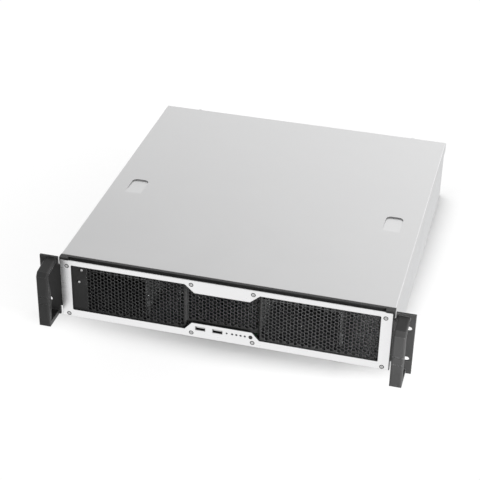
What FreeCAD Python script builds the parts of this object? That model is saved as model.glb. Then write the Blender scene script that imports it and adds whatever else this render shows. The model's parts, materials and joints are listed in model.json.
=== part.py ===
import FreeCAD, Part
import math
import os
import Sketcher
from FreeCAD import Placement, Rotation, Vector

# An empty 2U rackmount server case: folded steel pan and cover, bright front plate over a
# hexagonal mesh, black rack handles, front controls, fans, drive cages and rear slots.
# Every piece is drawn with Y = 0 at the front face of the bezel, X = 0 on the middle plane and
# Z = 0 on the underside, and is then placed so that the middle of the whole case is at Y = 0.

# Driving sizes in millimetres. Each one has its own cell in the sheet.
SIZES = {
    "case_width": 431.0,          # over the cover's side flanges
    "case_height": 88.0,          # underside of the pan to the top of the cover
    "case_depth": 457.2,          # bezel face to the cover's rear face
    "pan_sheet": 1.2,
    "cover_sheet": 1.0,
    "slide_gap": 0.3,             # between the cover and what it slides past
    "fit_gap": 0.2,               # round a piece that drops into its hole
    "pan_lip": 10.0,              # top edge of a side wall, folded inwards
    "cover_skirt": 14.0,          # cover's edge, folded down
    "cover_bend": 1.6,            # outer bend radius of the cover
    "strip_depth": 10.4,          # black strip in front of the cover
    "strip_groove": 2.8,          # dark groove between the front plate and the strip
    "strip_drop": 3.0,            # floor of that groove below the cover
    "joggle_reach": 18.0,         # lip of the strip under the cover
    "return_depth": 12.0,         # folded edges of the front frame
    "bezel_side_gap": 2.2,        # cover's side to the front plate's edge
    "bezel_low": 1.3,
    "bezel_top_gap": 2.6,
    "bezel_thick": 2.0,
    "bezel_corner": 1.2,
    "bezel_post": 13.9,           # front plate beside its window
    "window_low": 11.4,
    "window_top_gap": 6.2,        # front plate above its window
    "window_corner": 1.5,
    "window_margin": 2.0,         # front frame's window beyond the bezel's
    "top_tab_root": 97.0,
    "top_tab_tip": 71.6,
    "top_tab_drop": 11.1,
    "low_tab_root": 97.5,
    "low_tab_tip": 78.5,
    "low_tab_rise": 10.9,
    "screw_shank": 1.5,           # radius
    "screw_head": 2.9,            # radius of a bezel screw's head
    "screw_tall": 1.6,            # height of a pan head
    "screw_grip": 2.5,            # shank behind what the screw holds
    "corner_screw_inset": 8.3,    # from the front plate's side
    "corner_screw_low": 4.6,
    "corner_screw_drop": 8.2,     # below the front plate's top
    "inner_screw_span": 80.0,
    "inner_screw_low": 7.0,
    "inner_screw_drop": 5.8,
    "mesh_sheet": 1.0,
    "mesh_lap": 1.8,              # mesh behind the frame, beside and above the window
    "mesh_middle_width": 97.0,
    "mesh_recess": 3.0,           # middle field behind the side fields
    "mesh_middle_low": 18.6,
    "mesh_pitch": 10.8,
    "mesh_web": 2.0,
    "mesh_blank": 13.0,           # plain margin at the left end
    "mesh_screw_head": 1.9,
    "mesh_screw_shank": 1.0,
    "mesh_screw_tall": 1.2,
    "mesh_screw_side_1": 13.4,    # from the window's left side
    "mesh_screw_drop_1": 6.6,     # from the window's top
    "mesh_screw_side_2": 9.4,
    "mesh_screw_drop_2": 24.9,
    "flange_setback": 1.0,        # flange face behind the bezel face
    "flange_thick": 3.0,
    "flange_gap": 1.5,            # cover's side to the flange
    "flange_low": 0.6,
    "flange_top_gap": 0.5,
    "leg_low": 14.4,
    "leg_top_gap": 15.5,
    "leg_clear": 3.5,             # flange cut away above the leg
    "leg_length": 41.0,
    "leg_slope": 21.0,
    "leg_chin": 9.0,
    "leg_hole_edge": 3.0,         # metal beyond a screw's head
    "slot_reach": 17.05,          # cover's side to the middle of a rack slot
    "slot_edge": 8.75,            # middle of a rack slot to the handle's outer edge
    "slot_pitch": 44.45,
    "slot_low": 22.25,
    "slot_width": 7.0,
    "slot_length": 10.0,
    "grip_reach": 32.0,           # flange face to the front of the grip
    "grip_gap": 2.3,              # flange's inner edge to the grip
    "grip_width": 15.2,
    "grip_thick": 9.0,            # at the palm
    "grip_thin": 5.0,             # at the grip's ends
    "palm_low": 30.0,
    "palm_high": 48.0,
    "palm_end": 7.2,              # below the bend
    "grip_bend_drop": 12.5,       # flange's top to the bend at the grip's front
    "shoulder_reach": 4.5,
    "shoulder_rise": 6.0,
    "arm_drop": 3.0,              # arm's root below the flange's top
    "arm_lift": 1.0,              # arm's underside above the bend
    "grip_low": 0.4,
    "grip_chin": 1.2,
    "grip_arm": 5.0,              # thickness of the top arm
    "grip_foot": 6.0,             # thickness of the bottom arm
    "grip_round": 2.4,
    "groove_low": 33.5,
    "groove_pitch": 11.0,
    "groove_size": 0.9,
    "leg_screw_head": 3.6,
    "control_height": 15.0,
    "usb_left": -28.1,
    "usb_right": -5.5,
    "usb_width": 13.1,
    "usb_tall": 5.7,
    "usb_wall": 0.4,
    "usb_depth": 14.0,
    "usb_tongue": 1.9,
    "reset_place": 6.6,
    "reset_radius": 1.0,
    "power_place": 37.7,
    "power_radius": 2.3,
    "button_travel": 1.0,
    "button_collar": 0.8,         # how far the collar stands out round a button
    "collar_thick": 0.9,
    "power_proud": 0.5,           # power button in front of the bezel
    "reset_sunk": 0.6,            # reset button behind the bezel's face
    "led_first": 13.8,
    "led_pitch": 5.5,
    "led_radius": 1.3,
    "lamp_lap": 0.5,              # lamp beyond its light pipe
    "lamp_depth": 3.6,
    "lamp_inset": 1.0,            # from the board's front edge
    "io_board_front": 5.2,
    "io_board_back": 19.2,
    "io_board_half": 42.0,
    "io_screw_inset": 4.0,
    "io_board_thick": 1.6,
    "switch_front": 8.4,
    "switch_depth": 3.6,
    "switch_size": 6.0,
    "fan_wall_to_rear": 277.9,
    "fan_wall_drop": 5.5,         # below the cover
    "fan_wall_end": 16.0,         # wall beyond the last fan
    "fan_clear": 8.0,             # case's height beyond the fan's
    "fan_depth": 25.0,
    "fan_rim": 2.0,
    "fan_floor_gap": 2.6,
    "fan_side_gap": 17.0,
    "fan_space": 22.0,            # between two fans
    "fan_hole_inset": 8.5,
    "fan_flange": 3.6,
    "fan_duct_step": 0.4,
    "fan_arm": 2.0,
    "fan_arm_gap": 0.6,
    "fan_hub": 16.0,
    "fan_hub_bevel": 1.5,
    "fan_front_gap": 2.0,
    "fan_tip_gap": 1.2,
    "fan_shaft": 1.5,
    "fan_shaft_end": 2.4,
    "blade_wall": 0.6,
    "cage_front": 21.5,
    "cage_to_fan_wall": 13.5,
    "cage_width": 105.0,
    "cage_height": 60.0,
    "cage_sheet": 1.0,
    "cage_side_gap": 3.0,
    "cage_right": 95.2,
    "cage_foot_side": 9.0,
    "cage_foot_end": 12.0,
    "cage_rim": 21.0,             # round the opening in the cage's top
    "cage_tab_width": 3.6,
    "cage_tab_low": 5.0,
    "cage_tab_top": 29.0,
    "board_hole_inset": 5.775,    # from the rear connectors' opening
    "board_hole_rear": 16.1,
    "board_column_2": 157.48,
    "board_column_3": 281.94,
    "board_row_2": 154.94,
    "board_row_3": 227.33,
    "standoff_height": 6.5,
    "standoff_radius": 3.2,
    "io_opening_width": 158.75,
    "io_opening_height": 44.45,
    "io_opening_low": 6.5,
    "io_to_psu": 9.225,
    "psu_side_gap": 6.0,
    "psu_top_gap": 14.0,
    "psu_opening_low": 6.0,
    "psu_rail_length": 170.0,
    "psu_rail_height": 24.0,
    "slot_side_gap": 17.08,       # inside of the left wall to the last card slot's middle
    "slot_to_io": 15.025,         # first card slot's middle to the connectors' opening
    "slot_cover_pitch": 20.32,
    "slot_cover_width": 18.4,
    "slot_cover_sheet": 0.9,
    "slot_opening_width": 13.0,
    "slot_opening_low": 12.0,
    "slot_lap": 4.0,              # slot cover beyond its opening
    "slot_shelf_drop": 12.0,
    "slot_shelf_depth": 11.5,
    "vent_gap": 6.05,
    "vent_top_gap": 15.0,
    "vent_width": 4.0,
    "vent_pitch": 10.6,
    "thumb_inset": 50.5,          # from the cover's side
    "thumb_drop": 8.4,
    "thumb_radius": 5.0,
    "thumb_length": 8.5,
    "thumb_shank": 2.0,
    "thumb_neck": 3.1,            # radius
    "thumb_neck_length": 2.0,
    "thumb_face": 2.9,            # radius of the raised middle of the head
    "thumb_step": 0.8,
    "pad_inset": 36.5,            # push pads in the cover, from its side
    "pad_width": 23.0,
    "pad_front": 184.0,
    "pad_back": 222.0,
    "pad_depth": 1.6,
    "pad_corner": 7.0,
}

SLOT_COVERS = 7
FANS = 3
BLADES = 7
BLADE_PITCHES = (48, 33)          # degrees at the root and at the tip
BLADE_CHORDS = (1.05, 1.3)        # shares of the hub's depth, likewise
DRIVE_LEVELS = (0.2, 0.7)         # shares of the cage's height
DRIVE_HOLES = (0.2, 0.5, 0.8)     # shares of the cage's length

doc = FreeCAD.newDocument("rack_case")
sheet = doc.addObject("Spreadsheet::Sheet", "Sizes")
for row, (alias, number) in enumerate(SIZES.items(), start=1):
    sheet.set(f"A{row}", alias)
    sheet.set(f"B{row}", str(number))
    sheet.setAlias(f"B{row}", alias)
doc.recompute()


class Size(float):
    """A length that also carries the sheet expression that gives it."""

    def __new__(cls, number, text):
        made = super().__new__(cls, number)
        made.text = text
        return made

    def __add__(self, other):
        return Size(float(self) + float(other), f"({self.text} + {formula(other)})")

    def __radd__(self, other):
        return Size(float(other) + float(self), f"({formula(other)} + {self.text})")

    def __sub__(self, other):
        return Size(float(self) - float(other), f"({self.text} - {formula(other)})")

    def __rsub__(self, other):
        return Size(float(other) - float(self), f"({formula(other)} - {self.text})")

    def __mul__(self, other):
        return Size(float(self) * float(other), f"({self.text} * {formula(other)})")

    __rmul__ = __mul__

    def __truediv__(self, other):
        return Size(float(self) / float(other), f"({self.text} / {formula(other)})")

    def __neg__(self):
        return Size(-float(self), f"(-1 * {self.text})")


def formula(number):
    """The expression text of a size, or of a plain number."""
    return number.text if isinstance(number, Size) else f"({float(number)!r})"


class Sheet:
    """The cells of the sheet, each as a Size."""

    def __init__(self, names):
        for name in names:
            setattr(self, name, Size(float(sheet.get(name)), f"Sizes.{name}"))


s = Sheet(SIZES)

# Places worked out from the driving sizes
half_cover = s.case_width / 2
half_pan = half_cover - s.cover_sheet - s.slide_gap
half_inside = half_pan - s.pan_sheet
pan_top = s.case_height - s.cover_sheet - s.slide_gap
lip_low = pan_top - s.pan_sheet
rear_face = s.case_depth - s.cover_sheet - s.slide_gap
rear_inner = rear_face - s.pan_sheet
case_back = s.case_depth + s.thumb_length
frame_back = s.bezel_thick + s.pan_sheet
flange_back = s.flange_setback + s.flange_thick
grip_front = s.flange_setback - s.grip_reach
to_middle = (grip_front + case_back) / -2
mesh_front = frame_back
middle_front = mesh_front + s.mesh_recess
board_top = s.control_height - s.usb_tall / 2

# The front plate, the handles and the rack slots follow the case's width and height
half_bezel = half_cover - s.bezel_side_gap
half_window = half_bezel - s.bezel_post
bezel_top = s.case_height - s.bezel_top_gap
window_top = bezel_top - s.window_top_gap
half_slots = half_cover + s.slot_reach
half_rack = half_slots + s.slot_edge
flange_inner = half_cover + s.flange_gap
flange_top = s.case_height - s.flange_top_gap
leg_top = s.case_height - s.leg_top_gap
grip_inner = flange_inner + s.grip_gap
grip_bend = flange_top - s.grip_bend_drop

# At the rear the power supply's opening takes the width that the others leave
last_slot = s.slot_side_gap - half_inside
first_slot = last_slot + s.slot_cover_pitch * (SLOT_COVERS - 1)
io_left = first_slot + s.slot_to_io
io_right = io_left + s.io_opening_width
psu_left = io_right + s.io_to_psu
psu_right = half_inside - s.psu_side_gap
slot_shelf_low = s.case_height - s.slot_shelf_drop
slot_opening_top = slot_shelf_low - s.slot_lap
psu_opening_top = s.case_height - s.psu_top_gap
vent_low = s.io_opening_low + s.io_opening_height + s.vent_gap
vent_top = s.case_height - s.vent_top_gap
thumb_x = half_cover - s.thumb_inset
thumb_height = s.case_height - s.thumb_drop
pad_middle = half_cover - s.pad_inset

# The fans fill the case's height and stand from its left wall on
fan_wall_place = rear_face - s.fan_wall_to_rear
fan_wall_tall = s.case_height - s.fan_wall_drop
half_fan = (s.case_height - s.fan_clear) / 2
fan_bore = half_fan - s.fan_rim
fan_height = half_fan + s.fan_floor_gap
fan_pitch = half_fan * 2 + s.fan_space
fan_first = half_fan + s.fan_side_gap - half_inside
fan_wall_right = fan_first + fan_pitch * (FANS - 1) + half_fan + s.fan_wall_end
cage_length = fan_wall_place - s.cage_to_fan_wall - s.cage_front
cage_left = s.cage_width / 2 + s.cage_side_gap - half_inside

NODES = []


def bind(thing, path, size):
    """Ties one property of a document object to the sheet."""
    thing.setExpression(path, formula(size))


def node(kind, name):
    """A new sub-part, whose label names its file."""
    thing = doc.addObject(kind, name)
    thing.Label = name
    NODES.append(thing)
    return thing


def new_body(name):
    body = node("PartDesign::Body", name)
    bind(body, "Placement.Base.y", to_middle)
    return body


def new_feature(name, shape):
    """A sub-part whose shape is made here, set in its place afterwards."""
    feature = node("Part::Feature", name)
    feature.Shape = shape
    feature.Placement = Placement(Vector(0, float(to_middle), 0), Rotation())
    return feature


def rect(low_u, low_v, high_u, high_v):
    return [(low_u, low_v), (high_u, low_v), (high_u, high_v), (low_u, high_v)]


def circle(u, v, radius):
    return ("circle", u, v, radius)


def slot(u, v, length, width):
    """A slot with round ends along the sketch's first direction."""
    return ("slot", u, v, length, width)


class Drawing:
    """Collects the lines and arcs of one sketch with the constraints that fix them."""

    def __init__(self, sketch):
        self.sketch = sketch
        self.lines = []
        self.rules = []
        self.bound = []

    def rule(self, *parts, size=None):
        if size is not None:
            self.bound.append((len(self.rules), size))
            parts = parts + (float(size),)
        self.rules.append(Sketcher.Constraint(*parts))

    def pin(self, index, point, u, v):
        self.rule("DistanceX", -1, 1, index, point, size=u)
        self.rule("DistanceY", -1, 1, index, point, size=v)

    def polygon(self, points):
        first = len(self.lines)
        count = len(points)
        for number, (u, v) in enumerate(points):
            next_u, next_v = points[(number + 1) % count]
            self.lines.append(Part.LineSegment(Vector(u, v, 0), Vector(next_u, next_v, 0)))
        for number, (u, v) in enumerate(points):
            self.rule("Coincident", first + number, 2, first + (number + 1) % count, 1)
            self.pin(first + number, 1, u, v)

    def circle(self, u, v, radius):
        index = len(self.lines)
        self.lines.append(Part.Circle(Vector(u, v, 0), Vector(0, 0, 1), float(radius)))
        self.pin(index, 3, u, v)
        self.rule("Radius", index, size=radius)

    def slot(self, u, v, length, width):
        first = len(self.lines)
        radius = width / 2
        reach = (length - width) / 2
        left = Vector(u - reach, v, 0)
        right = Vector(u + reach, v, 0)
        up = Vector(0, float(radius), 0)
        quarter = math.pi / 2
        for centre, start in ((left, quarter), (right, -quarter)):
            ring = Part.Circle(centre, Vector(0, 0, 1), float(radius))
            self.lines.append(Part.ArcOfCircle(ring, start, start + math.pi))
        self.lines.append(Part.LineSegment(left - up, right - up))
        self.lines.append(Part.LineSegment(right + up, left + up))
        for one, other in ((0, 2), (2, 1), (1, 3), (3, 0)):
            self.rule("Tangent", first + one, 2, first + other, 1)
        self.rule("Equal", first, first + 1)
        self.rule("Radius", first, size=radius)
        self.pin(first, 3, u - reach, v)
        self.pin(first + 1, 3, u + reach, v)

    def finish(self):
        self.sketch.addGeometry(self.lines, False)
        self.sketch.addConstraint(self.rules)
        for index, size in self.bound:
            bind(self.sketch, f"Constraints[{index}]", size)


def outline(body, name, plane, loops, level):
    """A sketch on one of the body's own planes, moved along that plane's axis to level."""
    sketch = body.newObject("Sketcher::SketchObject", name + "_outline")
    plane_feature = next(f for f in body.Origin.OriginFeatures if f.Role == plane + "_Plane")
    sketch.AttachmentSupport = (plane_feature, [""])
    sketch.MapMode = "FlatFace"
    bind(sketch, "AttachmentOffset.Base.z", -level if plane == "XZ" else level + 0)
    drawing = Drawing(sketch)
    for loop in loops:
        if loop[0] == "circle":
            drawing.circle(*loop[1:])
        elif loop[0] == "slot":
            drawing.slot(*loop[1:])
        else:
            drawing.polygon(loop)
    drawing.finish()
    return sketch


def as_size(number):
    return number if isinstance(number, Size) else Size(number, f"({float(number)!r})")


def add(body, name, plane, loops, low, high):
    """Pads closed loops, drawn across an axis, from low to high along it."""
    low = as_size(low)
    pad_sketch = outline(body, name, plane, loops, low)
    pad = body.newObject("PartDesign::Pad", name)
    pad.Profile = pad_sketch
    pad.Reversed = plane == "XZ"
    bind(pad, "Length", high - low)
    return pad


def cut(body, name, plane, loops, low, high):
    """Pockets closed loops, drawn across an axis, from low to high along it."""
    low = as_size(low)
    cut_sketch = outline(body, name, plane, loops, low)
    pocket = body.newObject("PartDesign::Pocket", name)
    pocket.Profile = cut_sketch
    pocket.Reversed = plane != "XZ"
    bind(pocket, "Length", high - low)
    return pocket


def soften(body, name, radius, chosen, kind="Fillet"):
    """Rounds or bevels the edges that chosen picks, given their bounding boxes."""
    doc.recompute()
    base = body.Tip
    edges = base.Shape.Edges
    names = [f"Edge{i}" for i, edge in enumerate(edges, start=1) if chosen(edge.BoundBox)]
    feature = body.newObject("PartDesign::" + kind, name)
    feature.Base = (base, names)
    bind(feature, "Radius" if kind == "Fillet" else "Size", radius)
    body.Tip = feature
    return feature


def near(number, wanted):
    return abs(number - float(wanted)) < 0.02


def turned(points, axis_point, axis):
    """A solid turned from (radius, along) points about an axis; along runs with the axis."""
    along = Vector(axis)
    out = Vector(0, 0, 1) if abs(along.z) < 0.5 else Vector(1, 0, 0)
    base = Vector(axis_point)
    corners = [base + out * float(radius) + along * float(place) for radius, place in points]
    face = Part.Face(Part.makePolygon(corners + corners[:1]))
    return face.revolve(base, along, 360)


def pan_head(place, axis, length, shank, head, tall):
    """A screw with a pan head; place is under the head and the shank runs along axis."""
    rim = float(head) * 0.94
    points = [(0, -tall), (head * 0.55, -tall), (rim, -tall * 0.6), (rim, 0)]
    points += [(shank, 0), (shank, length), (0, length)]
    return turned(points, place, axis)


def flat_head(place, axis, length, shank, head):
    """A countersunk screw; place is on its flat top and the shank runs along axis."""
    cone = head - shank
    points = [(0, 0), (head, 0), (shank, cone), (shank, length), (0, length)]
    return turned(points, place, axis)


def group(name, solids):
    return new_feature(name, Part.makeCompound(solids))


def base_pan():
    """Floor and side walls, folded from one sheet with lips along the top."""
    body = new_body("base_pan")
    t = s.pan_sheet
    lip = half_pan - s.pan_lip
    half = [(half_pan, 0), (half_pan, pan_top), (lip, pan_top), (lip, lip_low)]
    half += [(half_inside, lip_low), (half_inside, t)]
    other = [(-x, z) for x, z in reversed(half)]
    add(body, "folded_sheet", "XZ", [half + other], frame_back, rear_face)
    holes = [circle(y, z, s.screw_shank + s.fit_gap) for y, z in leg_screw_places()]
    cut(body, "handle_screw_holes", "YZ", holes, -half_cover, half_cover)
    feet = [circle(x, y, s.screw_shank + s.fit_gap) for x, y in cage_screw_places()]
    cut(body, "cage_screw_holes", "XY", feet, -t, t * 2)


def leg_screw_places():
    """Screws through each handle's side leg, as places along Y and Z."""
    inset = s.leg_screw_head + s.leg_hole_edge
    back = s.flange_setback + s.leg_length - inset
    middle = (s.leg_low + leg_top) / 2
    front = flange_back + inset
    return [(front, leg_top - inset), (front, s.leg_low + inset), (back, middle)]


def front_frame():
    """Black frame behind the bezel, with the strip that meets the cover."""
    body = new_body("front_frame")
    t = s.pan_sheet
    m = s.window_margin
    side = half_window + m
    low = s.window_low - m
    top = window_top + m
    root = s.top_tab_root / 2 - m
    tip = s.top_tab_tip / 2 - m
    window = [(-side, low), (side, low), (side, top), (root, top), (tip, top - s.top_tab_drop)]
    window += [(-tip, top - s.top_tab_drop), (-root, top), (-side, top)]
    high = s.case_height
    ledge = high - s.strip_drop
    lip_half = half_pan - s.pan_lip - s.slide_gap
    plate = [(-half_pan, 0), (half_pan, 0), (half_pan, high), (lip_half, high)]
    plate += [(lip_half, ledge), (-lip_half, ledge), (-lip_half, high), (-half_pan, high)]
    add(body, "face", "XZ", [plate, window], s.bezel_thick, frame_back)
    rise = frame_back + s.strip_groove
    step = s.strip_depth - s.slide_gap
    lip_end = s.strip_depth + s.joggle_reach
    strip = [(frame_back, ledge - t), (rise + t, ledge - t), (rise + t, high - t)]
    strip += [(step - t, high - t), (step - t, lip_low), (lip_end, lip_low), (lip_end, pan_top)]
    strip += [(step, pan_top), (step, high), (rise, high), (rise, ledge), (frame_back, ledge)]
    add(body, "joggled_strip", "YZ", [strip], -lip_half, lip_half)
    back = frame_back + s.return_depth
    above = pan_top + s.slide_gap / 3
    for side_sign, label in ((-1, "left"), (1, "right")):
        ends = sorted((side_sign * half_pan, side_sign * lip_half))
        corner = rect(frame_back, above, step, high)
        add(body, "strip_end_" + label, "YZ", [corner], ends[0], ends[1])
        walls = sorted((side_sign * half_inside, side_sign * (half_inside - t)))
        side_return = rect(frame_back, t * 2, back, lip_low - s.slide_gap)
        add(body, "side_return_" + label, "YZ", [side_return], walls[0], walls[1])
        wraps = sorted((side_sign * half_pan, side_sign * (half_cover - s.fit_gap)))
        wrap_low = leg_top + s.leg_clear + s.slide_gap
        wrap = rect(s.bezel_thick, wrap_low, step, high)
        add(body, "side_wrap_" + label, "YZ", [wrap], wraps[0], wraps[1])
    floor = rect(frame_back, t, back, t * 2)
    add(body, "floor_return", "YZ", [floor], -half_inside, half_inside)
    holes = [circle(x, z, s.screw_shank + s.fit_gap / 4) for x, z in bezel_screw_places()]
    cut(body, "bezel_screw_holes", "XZ", holes, 0, frame_back * 2)
    holes = [circle(y, z, s.screw_shank + s.fit_gap / 4) for y, z in leg_screw_places()[:2]]
    cut(body, "handle_screw_holes", "YZ", holes, -half_cover, half_cover)


def bezel_screw_places():
    places = []
    for sign in (-1, 1):
        corner = (half_bezel - s.corner_screw_inset) * sign
        inner = s.inner_screw_span / 2 * sign
        places += [(corner, s.corner_screw_low), (corner, bezel_top - s.corner_screw_drop)]
        places += [(inner, s.inner_screw_low), (inner, bezel_top - s.inner_screw_drop)]
    return places


def bezel_plate():
    """Bright front plate with one wide window and two tabs into it."""
    body = new_body("bezel_plate")
    side = half_window
    root = s.top_tab_root / 2
    tip = s.top_tab_tip / 2
    dip = window_top - s.top_tab_drop
    low_root = s.low_tab_root / 2
    low_tip = s.low_tab_tip / 2
    rise = s.window_low + s.low_tab_rise
    window = [(-side, s.window_low), (-low_root, s.window_low), (-low_tip, rise)]
    window += [(low_tip, rise), (low_root, s.window_low), (side, s.window_low)]
    window += [(side, window_top), (root, window_top), (tip, dip)]
    window += [(-tip, dip), (-root, window_top), (-side, window_top)]
    edge = half_bezel
    plate = rect(-edge, s.bezel_low, edge, bezel_top)
    add(body, "plate", "XZ", [plate, window], 0, s.bezel_thick)
    half_usb = s.usb_width / 2 + s.fit_gap
    usb_low = s.control_height - s.usb_tall / 2 - s.fit_gap
    usb_top = s.control_height + s.usb_tall / 2 + s.fit_gap
    usb = [rect(x - half_usb, usb_low, x + half_usb, usb_top) for x in (s.usb_left, s.usb_right)]
    cut(body, "usb_openings", "XZ", usb, -1, s.bezel_thick + 1)
    row = s.control_height
    holes = [circle(x, row, s.led_radius + s.fit_gap) for x in led_places()]
    holes.append(circle(s.reset_place, row, s.reset_radius + s.slide_gap))
    holes.append(circle(s.power_place, row, s.power_radius + s.slide_gap))
    holes += [circle(x, z, s.screw_shank + s.fit_gap) for x, z in bezel_screw_places()]
    cut(body, "round_holes", "XZ", holes, -1, s.bezel_thick + 1)
    cut_sinks(body, s.screw_head + s.fit_gap, s.screw_shank + s.fit_gap)

    def outer_corner(box):
        ends = near(box.ZMin, s.bezel_low) or near(box.ZMax, bezel_top)
        return near(box.XLength, 0) and near(box.ZLength, 0) and ends and near(abs(box.XMin), edge)

    def window_corner(box):
        return near(box.XLength, 0) and near(box.ZLength, 0) and near(abs(box.XMin), side)

    soften(body, "outer_corners", s.bezel_corner, outer_corner)
    soften(body, "window_corners", s.window_corner, window_corner)


def cut_sinks(body, wide, narrow):
    """Conical seats for the bezel screws, each a groove turned about its own hole."""
    depth = wide - narrow
    for number, (x, z) in enumerate(bezel_screw_places(), start=1):
        seat = body.newObject("PartDesign::SubtractiveCone", f"sink_{number}")
        plane = next(f for f in body.Origin.OriginFeatures if f.Role == "XZ_Plane")
        seat.AttachmentSupport = (plane, [""])
        seat.MapMode = "FlatFace"
        bind(seat, "AttachmentOffset.Base.x", x)
        bind(seat, "AttachmentOffset.Base.y", z)
        bind(seat, "AttachmentOffset.Base.z", -depth)
        bind(seat, "Radius1", narrow)
        bind(seat, "Radius2", wide)
        bind(seat, "Height", depth)


def led_places():
    return [s.led_first + s.led_pitch * number for number in range(4)]


def hexagon(x, z, radius, y):
    corners = []
    for number in range(6):
        angle = math.radians(60 * number)
        corners.append(Vector(x + radius * math.cos(angle), y, z + radius * math.sin(angle)))
    return Part.makePolygon(corners + corners[:1])


def mesh_field(low_x, high_x, low_z, high_z, front, bare_left, bare_right, column_from):
    """One flat field of the mesh: a plate whose hexagons stand in staggered columns."""
    radius = (s.mesh_pitch - s.mesh_web) / math.sqrt(3)
    step = s.mesh_pitch * math.sqrt(3) / 2
    corners = [Vector(low_x, front, low_z), Vector(high_x, front, low_z)]
    corners += [Vector(high_x, front, high_z), Vector(low_x, front, high_z)]
    rim = Part.makePolygon(corners + corners[:1])
    holes = []
    column = math.ceil((low_x + bare_left + radius - column_from) / step)
    while column_from + column * step + radius <= high_x - bare_right:
        x = column_from + column * step
        z = low_z + s.mesh_web + s.mesh_pitch / 2 + (s.mesh_pitch / 2 if column % 2 else 0)
        while z + s.mesh_pitch / 2 <= high_z - s.mesh_web / 2:
            holes.append(hexagon(x, z, radius, front))
            z += s.mesh_pitch
        column += 1
    face = Part.makeFace([rim] + holes, "Part::FaceMakerBullseye")
    return face.extrude(Vector(0, s.mesh_sheet, 0))


def mesh_grille():
    """Black hexagonal mesh in three fields; the middle one is set back on two steps."""
    half = half_window + s.window_margin + s.mesh_lap
    middle = s.mesh_middle_width / 2
    low = s.window_low - s.window_margin - s.mesh_lap
    top = window_top + s.window_margin + s.mesh_lap
    t = s.mesh_sheet
    hidden = s.mesh_lap + s.window_margin
    front = float(mesh_front)
    deep = float(middle_front)
    pieces = [
        mesh_field(-half, -middle, low, top, front, hidden + s.mesh_blank, t, 0.0),
        mesh_field(middle, half, low, top, front, t, hidden + t, 0.0),
        mesh_field(-middle, middle, s.mesh_middle_low, top, deep, t, t, 0.0),
    ]
    for x in (-middle, middle - t):
        corner = Vector(x, front, low)
        pieces.append(Part.makeBox(t, s.mesh_recess + t, top - low, corner))
    whole = pieces[0].multiFuse(pieces[1:]).removeSplitter()
    hole = s.mesh_screw_shank + s.fit_gap / 4
    through = Vector(0, s.mesh_sheet * 2, 0)
    for x, z in mesh_screw_places():
        ring = Part.Wire(Part.Circle(Vector(x, front - s.mesh_sheet / 2, z), through, hole).toShape())
        whole = whole.cut(Part.Face(ring).extrude(through))
    new_feature("mesh_grille", whole)


def mesh_screw_places():
    """Two small screws in the plain margin, left of the holes."""
    return [(s.mesh_screw_side_1 - half_window, window_top - s.mesh_screw_drop_1),
            (s.mesh_screw_side_2 - half_window, window_top - s.mesh_screw_drop_2)]


def mesh_screws():
    solids = []
    for x, z in mesh_screw_places():
        length = s.mesh_sheet + s.screw_grip / 2
        solids.append(pan_head((x, mesh_front, z), (0, 1, 0), length, s.mesh_screw_shank,
                               s.mesh_screw_head, s.mesh_screw_tall))
    group("mesh_screws", solids)


def bezel_screws():
    length = frame_back + s.screw_grip
    shank = s.screw_shank
    solids = []
    for x, z in bezel_screw_places():
        solids.append(flat_head((x, 0, z), (0, 1, 0), length, shank, s.screw_head))
    group("bezel_screws", solids)


def handle(side, name):
    """Rack flange, side leg and grip, cast as one piece."""
    body = new_body(name)

    def across(one, other):
        return sorted((side * one, side * other))

    leg_x = half_pan
    inner = flange_inner
    above_leg = leg_top + s.leg_clear
    flange = [(side * half_rack, s.flange_low), (side * half_rack, flange_top)]
    flange += [(side * inner, flange_top), (side * inner, above_leg)]
    flange += [(side * leg_x, above_leg), (side * leg_x, s.leg_low)]
    flange += [(side * inner, s.leg_low), (side * inner, s.flange_low)]
    add(body, "flange", "XZ", [flange], s.flange_setback, flange_back)
    face = s.flange_setback
    front = grip_front
    low = s.grip_low
    foot = low + s.grip_foot
    chin = s.grip_chin
    bend = grip_bend
    root = flange_top - s.arm_drop
    outer = [(face, root), (front + s.shoulder_reach, bend + s.shoulder_rise), (front, bend)]
    outer += [(front, low + chin), (front + chin, low), (face, low)]
    thin = front + s.grip_thin
    palm = front + s.grip_thick
    gap = [(face, foot), (thin, foot), (palm, s.palm_low), (palm, s.palm_high)]
    gap += [(thin, bend - s.palm_end), (thin, bend + s.arm_lift), (face, root - s.grip_arm)]
    outside = grip_inner + s.grip_width
    low_x, high_x = across(grip_inner, outside)
    add(body, "grip", "YZ", [outer + gap], low_x, high_x)

    def grip_edge(box):
        flat = near(box.XLength, 0)
        upright = near(box.YMax, front) and box.ZLength > s.grip_reach
        shoulder = near(box.YMin, front) and near(box.ZMin, bend)
        arm = near(box.ZMax, root) and near(box.ZMin, bend + s.shoulder_rise)
        return flat and (upright or shoulder or arm)

    soften(body, "grip_rounding", s.grip_round, grip_edge)

    low_x, high_x = across(leg_x, inner)
    leg_end = s.flange_setback + s.leg_length
    slope = s.leg_length / 2
    leg = [(face, s.leg_low), (face + slope, s.leg_low), (leg_end, s.leg_low + s.leg_chin)]
    leg += [(leg_end, leg_top - s.leg_slope), (face + slope / 2, leg_top), (face, leg_top)]
    add(body, "side_leg", "YZ", [leg], low_x, high_x)
    slots = [slot(side * half_slots, z, s.slot_length, s.slot_width) for z in rack_slot_heights()]
    cut(body, "rack_slots", "XZ", slots, face - 1, flange_back + 1)
    holes = [circle(y, z, s.screw_shank + s.fit_gap) for y, z in leg_screw_places()]
    cut(body, "leg_holes", "YZ", holes, low_x - 1, high_x + 1)
    bands = []
    for number in range(2):
        band = s.groove_low + s.groove_pitch * number
        bands.append(rect(front - 1, band, front + s.groove_size, band + s.groove_size))
    groove_low, groove_high = across(grip_inner - 1, outside + 1)
    cut(body, "grip_grooves", "YZ", bands, groove_low, groove_high)


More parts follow.
